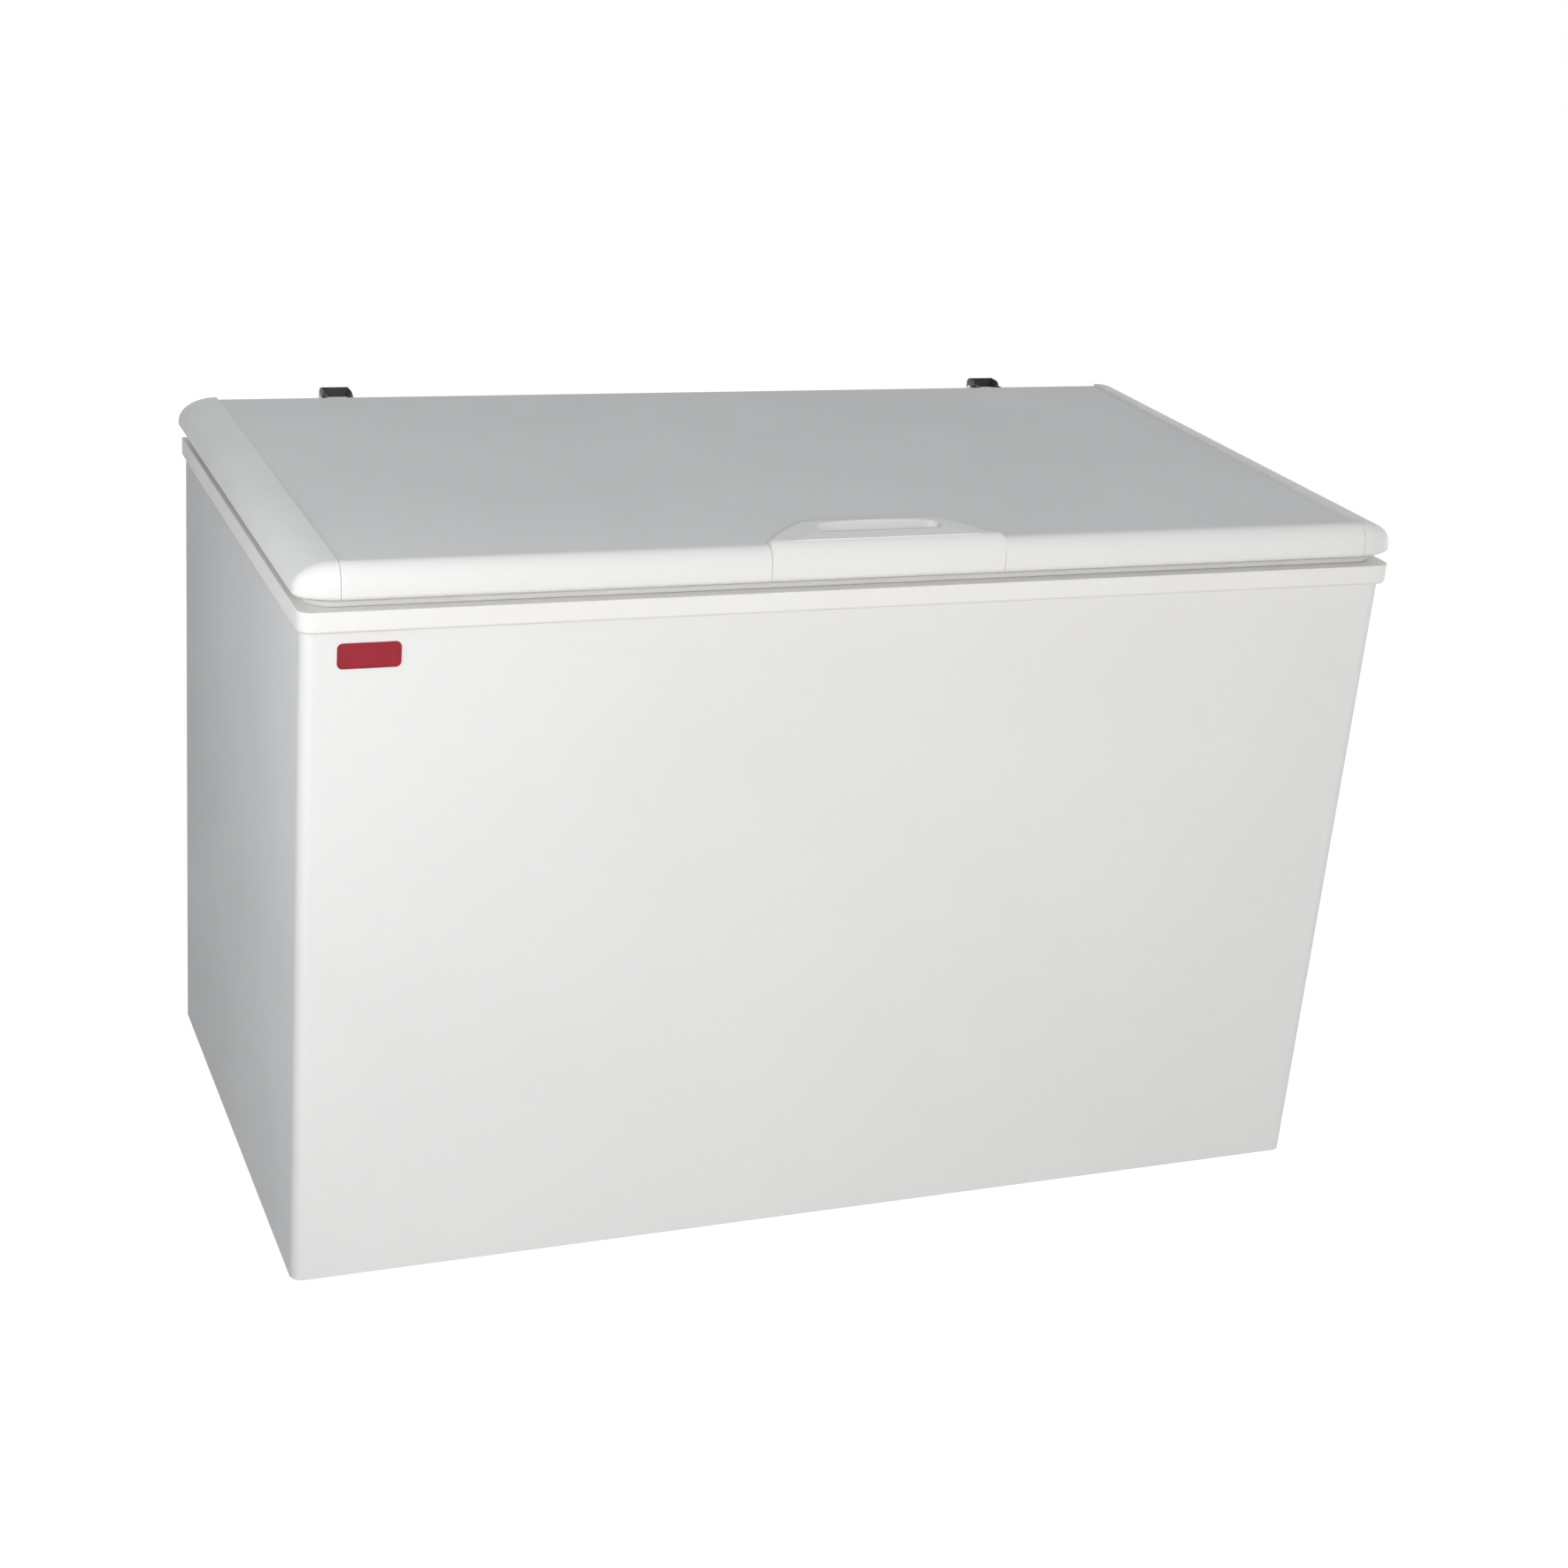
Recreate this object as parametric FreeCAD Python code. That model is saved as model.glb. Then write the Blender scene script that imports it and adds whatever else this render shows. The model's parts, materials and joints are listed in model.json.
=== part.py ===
"""Chest freezer: insulated cabinet, hinged lid, cooling circuit and hanging basket.

Millimetres. X runs along the front from left to right, Y from front to back, Z up.
The origin is on the floor, in the middle of the freezer's outline.
"""

import FreeCAD
import Part
import math
import os

# Gaps and the overrun of cuts
seam = 0.5
fit = 0.3
running = 0.05
overrun = 3.0
tiny = 1e-4

# Cabinet
cabinet_width = 1300.0
cabinet_depth = 672.0
cabinet_height = 774.5
cabinet_corner = 14.0
wrapper_sheet = 0.8
wrapper_flange = 14.0
back_sheet = 0.8
pan_sheet = 1.0

# Liner, the insulation behind it and the step over the machine bay
wall = 62.0
floor = 70.0
liner_sheet = 1.0
liner_corner = 16.0
liner_bend = 22.0
liner_rim = 18.0
step_length = 300.0
step_height = 270.0
bay_insulation = 60.0

# Top frame
frame_height = 23.5
frame_proud = 9.0
frame_proud_side = 5.0
frame_proud_back = 3.0
frame_corner = 16.0
frame_wall = 2.5
frame_top_round = 1.5
frame_low_round = 4.0
frame_skirt = 18.0

# Lid
seal_gap = 11.5
lid_edge = 37.8
lid_overhang = 0.0
lid_side_overhang = 3.5
lid_back_overhang = 3.0
lid_corner = 22.0
lid_round = 18.0
lid_undercut = 4.0
lid_waist = 7.0
lid_side_stretch = 2.5
lid_land = 1.0
lid_wall = 2.5
lid_sheet = 0.8
lid_border = 20.0
cap_width = 47.0
lid_lip = 26.0
lid_tuck = 2.0
lid_fold_round = 2.4
plug_inset = 16.0
plug_depth = 28.0
plug_corner = 30.0
plug_round = 10.0
inner_sheet = 2.0
field_margin = 70.0
field_depth = 6.0
field_spacing = 60.0
field_count = 2

# Handle in the middle of the lid's front
handle_width = 280.0
handle_rise = 5.0
dome_height = 12.0
dome_front = 14.0
dome_ridge = 59.0
dome_back = 88.0
dome_round = 8.0
handle_corner = 6.0
pocket_width = 150.0
pocket_front = 31.0
pocket_back = 56.0
pocket_depth = 22.0
pocket_corner = 11.0

# Lid seal
seal_inset = 12.0
seal_base_width = 26.0
seal_base = 2.5
seal_neck_width = 20.0
seal_neck = 2.0
seal_bulb_width = 22.0
seal_bulb_round = 2.5
seal_corner = 32.0

# Hinges
hinge_from_side = 195.0
hinge_width = 38.0
hinge_sheet = 2.0
hinge_eye = 9.0
hinge_clearance = 2.0
hinge_rise = 2.0
hinge_corner = 7.0
hinge_foot = 92.0
hinge_toe = 14.0
hinge_ear = 15.0
hinge_plate_width = 60.0
hinge_plate_margin = 5.0
pin_offset = 34.0
pin_height = 24.0
pin_radius = 4.0
pin_head_radius = 6.5
pin_head = 2.5

# Feet
foot_height = 20.0
foot_radius = 24.0
foot_top_radius = 30.0
foot_flange = 4.0
foot_hole = 3.0
foot_recess_radius = 8.0
foot_recess = 8.0
foot_inset = 90.0

# Compressor and its mounting
tray_sheet = 1.5
tray_slot_width = 8.0
tray_slot_length = 120.0
tray_slot_pitch = 24.0
tray_slot_count = 6
tray_slot_from_front = 90.0
compressor_from_side = 150.0
compressor_from_back = 195.0
shell_radius = 82.0
shell_height = 165.0
shell_low_round = 35.0
shell_top_round = 55.0
shell_seam = 84.0
shell_seam_height = 5.0
shell_seam_radius = 87.0
shell_cap_radius = 79.0
plate_length = 214.0
plate_width = 150.0
plate_corner = 14.0
plate_sheet = 3.0
mount_pitch_x = 180.0
mount_pitch_y = 116.0
mount_height = 12.0
mount_radius = 14.0
mount_neck = 8.0
mount_cap_radius = 12.0
mount_cap = 5.0
bolt_radius = 4.0
bolt_head_radius = 7.5
bolt_head = 4.0
terminal_width = 64.0
terminal_height = 56.0
terminal_reach = 24.0
terminal_rise = 14.0
terminal_round = 6.0

# Cooling circuit
line_radius = 3.0
line_bend = 18.0
suction_rise = 60.0
suction_from_middle = 55.0
process_length = 45.0
process_from_middle = 30.0
stub = 22.0
tube_bond = 0.6
condenser_radius = 2.5
condenser_low = 160.0
condenser_top_gap = 100.0
condenser_run_count = 6
condenser_inlet = 40.0
condenser_outlet_inset = 50.0
condenser_turn_inset = 110.0
condenser_from_back = 70.0
condenser_turn_bend = 30.0
evaporator_radius = 4.0
evaporator_low = 60.0
evaporator_top_gap = 12.0
evaporator_turn_count = 7
evaporator_inlet = 82.0
evaporator_inlet_drop = 24.0
evaporator_return = 14.0
drier_radius = 9.0
drier_length = 90.0
drier_cone = 12.0
capillary_radius = 1.2
capillary_lead = 40.0
capillary_drop = 45.0
capillary_bend = 10.0

# Side grille with the thermostat
grille_length = 360.0
grille_height = 220.0
grille_from_back = 70.0
grille_from_base = 35.0
grille_corner = 12.0
grille_flange = 2.5
grille_margin = 9.0
grille_depth = 10.0
grille_wall = 2.5
slot_count = 10
slot_height = 7.0
slot_slope = 6.0
slot_border = 14.0
slot_banks = 2
slot_rib = 10.0
dish_radius = 27.0
dish_depth = 15.0
dish_from_end = 62.0
knob_radius = 22.0
knob_disc = 5.0
knob_grip = 10.0
knob_proud = 1.5
spindle_radius = 3.0
spindle_reach = 12.0
thermostat_length = 46.0
thermostat_height = 32.0
thermostat_depth = 30.0

# Rear cover of the machine bay
cover_length = 262.0
cover_height = 232.0
cover_from_side = 24.0
cover_from_base = 24.0
cover_flange = 14.0
cover_sheet = 0.8
cover_raise = 8.0
cover_corner = 10.0
cover_slot_length = 84.0
cover_slot_height = 6.0
cover_slot_row_count = 9
cover_slot_column_count = 2
cover_slot_pitch = 18.0
cover_slot_from_top = 26.0
gland_radius = 9.0
gland_bore = 4.5
gland_lip = 2.0
gland_neck = 7.0
gland_from_corner = 26.0

# Drain
drain_from_side = 110.0
drain_from_front = 60.0
drain_radius = 12.0
drain_bore = 10.0
drain_below = 8.0
plug_radius = 9.5
plug_length = 16.0
plug_flange_radius = 17.0
plug_flange = 4.0
plug_tab = 12.0
plug_tab_width = 14.0
plug_tab_thickness = 4.0

# Wire basket
basket_length = 250.0
basket_height = 190.0
basket_side_gap = 15.0
basket_wall_gap = 10.0
basket_drop = 21.0
basket_corner = 26.0
basket_rim_radius = 3.0
basket_wire_radius = 1.6
basket_long_bar_count = 8
basket_cross_bar_count = 12
basket_band_count = 2
hanger_length = 130.0
hanger_reach = 18.0
hanger_bend = 7.0

# Places worked out from the sizes
half_width = cabinet_width / 2
hinge_reach = pin_offset + hinge_eye + hinge_clearance + hinge_sheet
overall_depth = lid_overhang + frame_proud + cabinet_depth + hinge_reach
lid_front = -overall_depth / 2
front = lid_front + lid_overhang + frame_proud
back = front + cabinet_depth
lid_back = back + lid_back_overhang
base = foot_height
frame_low = base + cabinet_height
frame_top = frame_low + frame_height
rim = frame_top - frame_wall
lid_low = frame_top + seal_gap
lid_top = lid_low + lid_edge
frame_half = half_width + frame_proud_side
lid_half = frame_half + lid_side_overhang
panel_top = lid_top - lid_wall
inside_half = half_width - wrapper_sheet
inside_front = front + wrapper_sheet
inside_back = back - back_sheet - wrapper_sheet
liner_half = half_width - wall
liner_front = front + wall
liner_back = back - wall
liner_floor = base + floor
step_left = liner_half - step_length
step_top = liner_floor + step_height
bay_left = step_left + bay_insulation
bay_top = step_top - bay_insulation
bay_front = front + wall
pan_low = base + wrapper_sheet
pan_top = pan_low + pan_sheet
tray_top = pan_low + tray_sheet
plate_low = tray_top + mount_height
plate_top = plate_low + plate_sheet
shell_top = plate_top + shell_height
compressor_x = half_width - compressor_from_side
compressor_y = back - compressor_from_back
pin_y = back + pin_offset
pin_z = lid_low + pin_height
opening_half = liner_half - fit - frame_wall
grille_back = back - grille_from_back
grille_front = grille_back - grille_length
grille_low = base + grille_from_base
grille_high = grille_low + grille_height
dish_y = grille_back - dish_from_end
dish_z = (grille_low + grille_high) / 2
dish_floor = half_width - dish_depth
drain_x = -liner_half + drain_from_side
drain_y = liner_front + drain_from_front
sides = (("left", -1), ("right", 1))


def vec(x, y, z):
    """Point or direction."""
    return FreeCAD.Vector(x, y, z)


def on_plan(z):
    """Places outline points (x, y) at the height z."""
    return lambda x, y: vec(x, y, z)


def on_side(x):
    """Places outline points (y, z) at the distance x from the middle."""
    return lambda y, z: vec(x, y, z)


def on_front(y):
    """Places outline points (x, z) at the depth y."""
    return lambda x, z: vec(x, y, z)


def corner_arc(before, at, after, radius):
    """Start, middle and end of the arc of the radius that rounds the corner."""
    back_way = (before - at).normalize()
    on_way = (after - at).normalize()
    half_angle = back_way.getAngle(on_way) / 2
    reach = radius / math.tan(half_angle)
    inward = (back_way + on_way).normalize()
    middle = at + inward * (radius / math.sin(half_angle) - radius)
    return at + back_way * reach, middle, at + on_way * reach


def rounded_edges(points, radii, closed):
    """Lines through the points, with an arc of its radius at each corner."""
    count = len(points)
    corners = []
    for i in range(count):
        is_end = not closed and i in (0, count - 1)
        if is_end or radii[i] == 0:
            corners.append((points[i], None, points[i]))
        else:
            corners.append(corner_arc(points[i - 1], points[i], points[(i + 1) % count], radii[i]))
    edges = []
    for i in range(count):
        start, middle, end = corners[i]
        if middle is not None:
            edges.append(Part.Arc(start, middle, end).toShape())
        following = corners[(i + 1) % count][0]
        is_last = not closed and i == count - 1
        if not is_last and end.distanceToPoint(following) > tiny:
            edges.append(Part.LineSegment(end, following).toShape())
    return edges


def rounded_face(corners, place):
    """Face inside an outline of corners (u, v, radius), which place sets in space."""
    points = [place(u, v) for u, v, radius in corners]
    radii = [radius for u, v, radius in corners]
    return Part.Face(Part.Wire(rounded_edges(points, radii, True)))


def box(x0, x1, y0, y1, z0, z1):
    """Block between two corners."""
    return Part.makeBox(x1 - x0, y1 - y0, z1 - z0, vec(x0, y0, z0))


def plan_corners(half, y0, y1, front_radius, back_radius):
    """Outline of a block that is alike on the left and the right."""
    near = [(-half, y0, front_radius), (half, y0, front_radius)]
    return near + [(half, y1, back_radius), (-half, y1, back_radius)]


def plan_block(half, y0, y1, front_radius, back_radius, z0, z1):
    """Upright block with rounded corners in plan."""
    face = rounded_face(plan_corners(half, y0, y1, front_radius, back_radius), on_plan(z0))
    return face.extrude(vec(0, 0, z1 - z0))


def turned(corners, x, y):
    """Body of revolution about an upright axis, from corners (radius, z, rounding)."""
    face = rounded_face([(x + r, z, rounding) for r, z, rounding in corners], on_front(y))
    return face.revolve(vec(x, y, 0), vec(0, 0, 1), 360)


def rod(start, end, radius):
    """Straight round bar."""
    way = end - start
    return Part.makeCylinder(radius, way.Length, start, way)


def bent_tube(points, bend, radius):
    """Round tube along straight runs, with an arc of the bend radius at each corner."""
    edges = rounded_edges(points, [bend] * len(points), False)
    section = Part.Wire(Part.makeCircle(radius, points[0], points[1] - points[0]))
    return Part.Wire(edges).makePipeShell([section], True, False)


def hexagon(radius, x, y, z0, z1):
    """Upright six-sided prism."""
    points = []
    for i in range(6):
        turn = math.radians(60 * i)
        points.append(vec(x + radius * math.cos(turn), y + radius * math.sin(turn), z0))
    return Part.Face(Part.makePolygon(points + points[:1])).extrude(vec(0, 0, z1 - z0))


def edges_within(shape, low, high):
    """Edges that lie wholly between two corner points."""
    margin = vec(tiny, tiny, tiny)
    room = FreeCAD.BoundBox(low - margin, high + margin)
    return [edge for edge in shape.Edges if room.isInside(edge.BoundBox)]


def spread(first, last, count):
    """Evenly spaced places from first to last."""
    return [first + (last - first) * i / (count - 1) for i in range(count)]


# Cabinet shell and insulation
def outer_wrapper():
    outer = plan_block(half_width, front, back - back_sheet, cabinet_corner, 0, base, rim)
    inner_corner = cabinet_corner - wrapper_sheet
    inner = plan_block(inside_half, inside_front, back, inner_corner, 0, base - overrun, rim + overrun)
    ledge = plan_block(inside_half, inside_front, back - back_sheet, inner_corner, 0, base, pan_low)
    hole_half = half_width - wrapper_flange
    hole = plan_block(hole_half, front + wrapper_flange, back, cabinet_corner / 2, 0, base - overrun, rim)
    shape = outer.cut(inner).fuse(ledge.cut(hole))
    for name, side in sides:
        x0, x1 = sorted((side * hole_half, side * inside_half))
        shape = shape.fuse(box(x0, x1, inside_back, back - back_sheet, base, rim))
    return shape.cut(grille_opening(fit)).removeSplitter()


def back_panel():
    sheet = box(-half_width, half_width, back - back_sheet, back, base, rim)
    opening = rounded_face(cover_outline(cover_flange), on_front(back - overrun))
    return sheet.cut(opening.extrude(vec(0, 2 * overrun, 0)))


def bay_block(grow):
    """Space of the machine bay, or its outside when grown by the pan's sheet."""
    return box(bay_left - grow, inside_half, bay_front - grow, inside_back, pan_low, bay_top + grow)


def base_pan(tubes):
    corner = cabinet_corner - wrapper_sheet
    plate = plan_block(inside_half, inside_front, inside_back, corner, 0, pan_low, pan_top)
    bay = box(bay_left, half_width, bay_front, back, base, bay_top)
    shape = plate.fuse(bay_block(pan_sheet)).cut(bay)
    return shape.cut(drain_hole(drain_radius)).cut(tubes).removeSplitter()


def liner_block(grow):
    """Space inside the liner, or its outside when grown by the liner's sheet."""
    half = liner_half + grow
    bend = liner_bend + grow
    corners = [
        (-half, liner_floor - grow, bend),
        (step_left + grow, liner_floor - grow, bend),
        (step_left + grow, step_top - grow, liner_bend - grow),
        (half, step_top - grow, bend),
        (half, rim, 0),
        (-half, rim, 0),
    ]
    y0 = liner_front - grow
    y1 = liner_back + grow
    block = rounded_face(corners, on_front(y0)).extrude(vec(0, y1 - y0, 0))
    ends = edges_within(block, vec(-half, y0, liner_floor - grow), vec(half, y0, rim))
    ends += edges_within(block, vec(-half, y1, liner_floor - grow), vec(half, y1, rim))
    ends = [edge for edge in ends if edge.BoundBox.ZMin < rim - tiny]
    return block.makeFillet(liner_corner + grow, ends)


def inner_liner(liner_inside, liner_outside):
    corner = liner_corner + liner_rim
    ledge = plan_block(liner_half + liner_rim, liner_front - liner_rim, liner_back + liner_rim, corner, corner,
                       rim - liner_sheet, rim)
    return liner_outside.fuse(ledge).cut(liner_inside).cut(drain_hole(drain_radius)).removeSplitter()


def cabinet_foam(liner_outside, tubes):
    block = plan_block(inside_half, inside_front, inside_back, cabinet_corner - wrapper_sheet, 0, pan_top,
                       rim - liner_sheet)
    shape = block.cut(liner_outside).cut(bay_block(pan_sheet)).cut(drain_hole(drain_radius))
    return shape.cut(tubes)


def top_frame():
    y0 = front - frame_proud
    outer = plan_block(frame_half, y0, back + frame_proud_back, frame_corner, frame_proud_back, frame_low, frame_top)
    for z, rounding in ((frame_top, frame_top_round), (frame_low, frame_low_round)):
        level = edges_within(outer, vec(-frame_half, y0, z), vec(frame_half, back, z))
        outer = outer.makeFillet(rounding, [edge for edge in level if edge.BoundBox.YMin < back - tiny])
    under = plan_block(half_width + fit, front - fit, back + fit, cabinet_corner + fit, 0, frame_low - overrun, rim)
    gap = fit + frame_wall
    skirt = plan_block(liner_half - fit, liner_front + fit, liner_back - fit, liner_corner - fit,
                       liner_corner - fit, rim - frame_skirt, frame_top)
    opening = plan_block(opening_half, liner_front + gap, liner_back - gap, liner_corner - gap,
                         liner_corner - gap, frame_low - overrun, frame_top + overrun)
    return outer.cut(under).fuse(skirt).cut(opening).removeSplitter()


def foot(x, y):
    corners = [
        (foot_hole, foot_recess, 0),
        (foot_recess_radius, foot_recess, 0),
        (foot_recess_radius, 0, 0),
        (foot_radius, 0, 0),
        (foot_radius, pan_low - foot_flange, 0),
        (foot_top_radius, pan_low - foot_flange, 0),
        (foot_top_radius, pan_low, 0),
        (foot_hole, pan_low, 0),
    ]
    return turned(corners, x, y)


# Hinges
def hinge_cabinet_leaf(x):
    """Housing on the back: a channel that is open to the front, with an ear on each side."""
    half = hinge_width / 2
    low = frame_low - hinge_foot
    top = lid_top + hinge_rise
    bend_z = frame_low - hinge_foot / 2
    neck_z = frame_low - hinge_eye
    rear = back + hinge_reach
    corners = [
        (back, low, 0),
        (back + hinge_toe, low, hinge_toe / 2),
        (rear, bend_z, hinge_toe),
        (rear, top, hinge_corner),
        (pin_y - hinge_eye, top, hinge_eye),
        (pin_y - hinge_eye, frame_low, 0),
        (back, neck_z, 0),
    ]
    block = rounded_face(corners, on_side(x - half)).extrude(vec(hinge_width, 0, 0))
    shield_corners = [(x - half, low, 0), (x + half, low, 0), (x + half, top, hinge_corner),
                      (x - half, top, hinge_corner)]
    shield = rounded_face(shield_corners, on_front(back)).extrude(vec(0, hinge_reach, 0))
    inner = [
        (back - overrun, low - overrun, 0),
        (back + hinge_toe - hinge_sheet, low - overrun, 0),
        (rear - hinge_sheet, bend_z, 0),
        (rear - hinge_sheet, top + overrun, 0),
        (back - overrun, top + overrun, 0),
    ]
    hollow_half = half - hinge_sheet
    hollow = rounded_face(inner, on_side(x - hollow_half)).extrude(vec(2 * hollow_half, 0, 0))
    shape = block.common(shield).cut(hollow)
    for name, side in sides:
        x0, x1 = sorted((x + side * (half - hinge_sheet), x + side * (half + hinge_ear)))
        ear = box(x0, x1, back, back + hinge_sheet, low, neck_z)
        tips = [edge for edge in ear.Edges if edge.BoundBox.YLength > tiny
                and abs(edge.BoundBox.Center.x - x) > half]
        shape = shape.fuse(ear.makeFillet(hinge_corner, tips))
    return shape.cut(pin_bore(x)).removeSplitter()


def hinge_lid_leaf(x):
    """Plate on the back of the lid with two arms that turn on the pin."""
    half = hinge_width / 2 - hinge_sheet - fit
    plate_half = hinge_plate_width / 2
    low = lid_low + hinge_plate_margin
    high = panel_top - hinge_plate_margin
    outline = [(x - plate_half, low, hinge_plate_margin), (x + plate_half, low, hinge_plate_margin),
               (x + plate_half, high, hinge_plate_margin), (x - plate_half, high, hinge_plate_margin)]
    shape = rounded_face(outline, on_front(lid_back)).extrude(vec(0, hinge_sheet, 0))
    corners = [
        (lid_back, pin_z - hinge_eye, 0),
        (pin_y + hinge_eye, pin_z - hinge_eye, hinge_eye),
        (pin_y + hinge_eye, pin_z + hinge_eye, hinge_eye),
        (lid_back, pin_z + hinge_eye, 0),
    ]
    for start in (x - half, x + half - hinge_sheet):
        shape = shape.fuse(rounded_face(corners, on_side(start)).extrude(vec(hinge_sheet, 0, 0)))
    return shape.cut(pin_bore(x)).removeSplitter()


def pin_bore(x):
    reach = hinge_width
    return rod(vec(x - reach, pin_y, pin_z), vec(x + reach, pin_y, pin_z), pin_radius + running)


def hinge_pin(x):
    reach = hinge_width / 2 + fit
    shape = rod(vec(x - reach, pin_y, pin_z), vec(x + reach, pin_y, pin_z), pin_radius)
    for name, side in sides:
        start = vec(x + side * reach, pin_y, pin_z)
        shape = shape.fuse(rod(start, start + vec(side * pin_head, 0, 0), pin_head_radius))
    return shape.removeSplitter()


# Lid
def stretched(shape, z0, share):
    """The shape drawn out to the sides, its heights multiplied by the share and its foot moved to z0."""
    matrix = FreeCAD.Matrix()
    matrix.scale(lid_side_stretch, 1, share)
    matrix.move(vec(0, 0, z0))
    return shape.transformGeometry(matrix)


def lid_block(inset, rise):
    """Outside of the lid, or the space in its skins when inset; rise lifts the top.

    The edge is a half oval, steep at the front and drawn out wide at the sides.
    """
    half = (lid_half - inset) / lid_side_stretch
    y0 = lid_front + inset
    y1 = lid_back - inset
    corner = lid_corner - inset
    waist = lid_low + lid_waist
    over = oval_slab(half, y0, y1, corner, lid_round - inset, True)
    under = oval_slab(half, y0, y1, corner, lid_undercut - inset, False)
    over_share = (lid_top + rise - inset - waist) / over.BoundBox.ZLength
    under_share = (waist - lid_low - inset) / under.BoundBox.ZLength
    return stretched(over, waist, over_share).fuse(stretched(under, lid_low + inset, under_share))


def oval_slab(half, y0, y1, corner, rounding, is_upper):
    """Slab on z = 0 whose front and side edges are rounded on top or below."""
    high = rounding + lid_land
    slab = plan_block(half, y0, y1, corner, 0, 0, high)
    z = high if is_upper else 0
    edges = edges_within(slab, vec(-half, y0, z), vec(half, y1, z))
    return slab.makeFillet(rounding, [edge for edge in edges if edge.BoundBox.YMin < y1 - tiny])


def lid_underside():
    """Space within the lower lips, where the inner panel lies."""
    return plan_block(lid_half - lid_lip, lid_front + lid_lip, lid_back + overrun, plug_round, 0,
                      lid_low - overrun, lid_low + lid_wall + tiny)


def lid_panel_hole():
    """Space within the upper lips, where the top sheet shows."""
    return box(cap_width - lid_half, lid_half - cap_width, lid_front + lid_border, lid_back + overrun,
               panel_top - tiny, lid_top + overrun)


def lid_skin(outside, inside, region):
    """Part of the lid's moulded edge that lies in the region."""
    return outside.common(region).cut(inside).cut(lid_underside()).cut(lid_panel_hole()).removeSplitter()


def lid_end_cap(outside, inside, side):
    x0, x1 = sorted((side * (lid_half - cap_width), side * (lid_half + overrun)))
    region = box(x0, x1, lid_front - overrun, lid_back + overrun, lid_low - overrun, lid_top + overrun)
    return lid_skin(outside, inside, region)


def lid_front_profile(outside, inside, side):
    x0, x1 = sorted((side * (handle_width / 2 + seam), side * (lid_half - cap_width - seam)))
    region = box(x0, x1, lid_front - overrun, lid_front + lid_border, lid_low - overrun, lid_top + overrun)
    return lid_skin(outside, inside, region)


def pocket_block(grow, low, high):
    """Finger pocket of the handle, or its outside when grown by the wall."""
    corner = pocket_corner + grow
    return plan_block(pocket_width / 2 + grow, lid_front + pocket_front - grow, lid_front + pocket_back + grow,
                      corner, corner, low, high)


def pocket_cup():
    return pocket_block(lid_wall, lid_top - pocket_depth - lid_wall, panel_top)


def lid_handle(inside):
    """Raised front bar, a finger pocket behind it and an arched hood over the pocket's back."""
    half = handle_width / 2
    bar_top = lid_top + handle_rise
    ends = [(-half, lid_low - overrun, 0), (half, lid_low - overrun, 0), (half, bar_top, handle_corner),
            (-half, bar_top, handle_corner)]
    region = rounded_face(ends, on_front(lid_front - overrun)).extrude(vec(0, overrun + lid_border, 0))
    bar = lid_block(0, handle_rise).common(region).cut(inside).cut(lid_underside())
    pocket = pocket_block(0, lid_top - pocket_depth, lid_top + dome_height + overrun)
    return bar.fuse(handle_hood()).fuse(pocket_cup()).cut(pocket).removeSplitter()


def arc_face(start, top, end, sill_start, sill_end):
    """Face between an arc through three points and the sill below it."""
    arc = Part.Arc(start, top, end).toShape()
    sill = Part.makePolygon([end, sill_end, sill_start, start])
    return Part.Face(Part.Wire([arc] + sill.Edges))


def handle_hood():
    """Hood that is arched from the front and from above, and humped from the side."""
    half = handle_width / 2
    peak = lid_top + dome_height
    rear = lid_front + dome_back
    border = lid_front + lid_border
    arched = arc_face(vec(-half, lid_front, lid_top), vec(0, lid_front, peak), vec(half, lid_front, lid_top),
                      vec(-half, lid_front, panel_top), vec(half, lid_front, panel_top))
    bowed = arc_face(vec(-half, border, panel_top), vec(0, rear, panel_top), vec(half, border, panel_top),
                     vec(-half, lid_front, panel_top), vec(half, lid_front, panel_top))
    hump_corners = [
        (lid_front + dome_front, panel_top, 0),
        (lid_front + dome_front, lid_top + handle_rise, 0),
        (lid_front + dome_ridge, peak, dome_round),
        (rear, lid_top, 0),
        (rear, panel_top, 0),
    ]
    hump = rounded_face(hump_corners, on_side(-half)).extrude(vec(handle_width, 0, 0))
    return arched.extrude(vec(0, dome_back, 0)).common(hump).common(bowed.extrude(vec(0, 0, lid_edge)))


def lid_top_panel():
    half = lid_half - cap_width + lid_tuck
    y0 = lid_front + lid_border - lid_tuck
    low = panel_top - lid_sheet
    sheet = box(-half, half, y0, lid_back - lid_wall - lid_sheet, low, panel_top)
    fold_half = lid_half - cap_width - seam
    fold = box(-fold_half, fold_half, lid_back - lid_wall - lid_sheet, lid_back, lid_low, panel_top)
    fold = fold.makeFillet(lid_fold_round, edges_within(fold, vec(-fold_half, lid_back, panel_top),
                                                        vec(fold_half, lid_back, panel_top)))
    room = box(-half, half, y0, lid_back - lid_sheet, lid_low - overrun, low)
    room = room.makeFillet(lid_fold_round - lid_sheet, edges_within(room, vec(-half, lid_back - lid_sheet, low),
                                                                    vec(half, lid_back - lid_sheet, low)))
    return sheet.fuse(fold).cut(room).cut(pocket_cup()).removeSplitter()


def plug_block(inset, top):
    """Part of the inner panel that hangs into the opening."""
    half = liner_half - plug_inset - inset
    y0 = liner_front + plug_inset + inset
    y1 = liner_back - plug_inset - inset
    corner = plug_corner - inset
    low = lid_low - plug_depth + inset
    block = plan_block(half, y0, y1, corner, corner, low, top)
    return block.makeFillet(plug_round - inset, edges_within(block, vec(-half, y0, low), vec(half, y1, low)))


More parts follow.
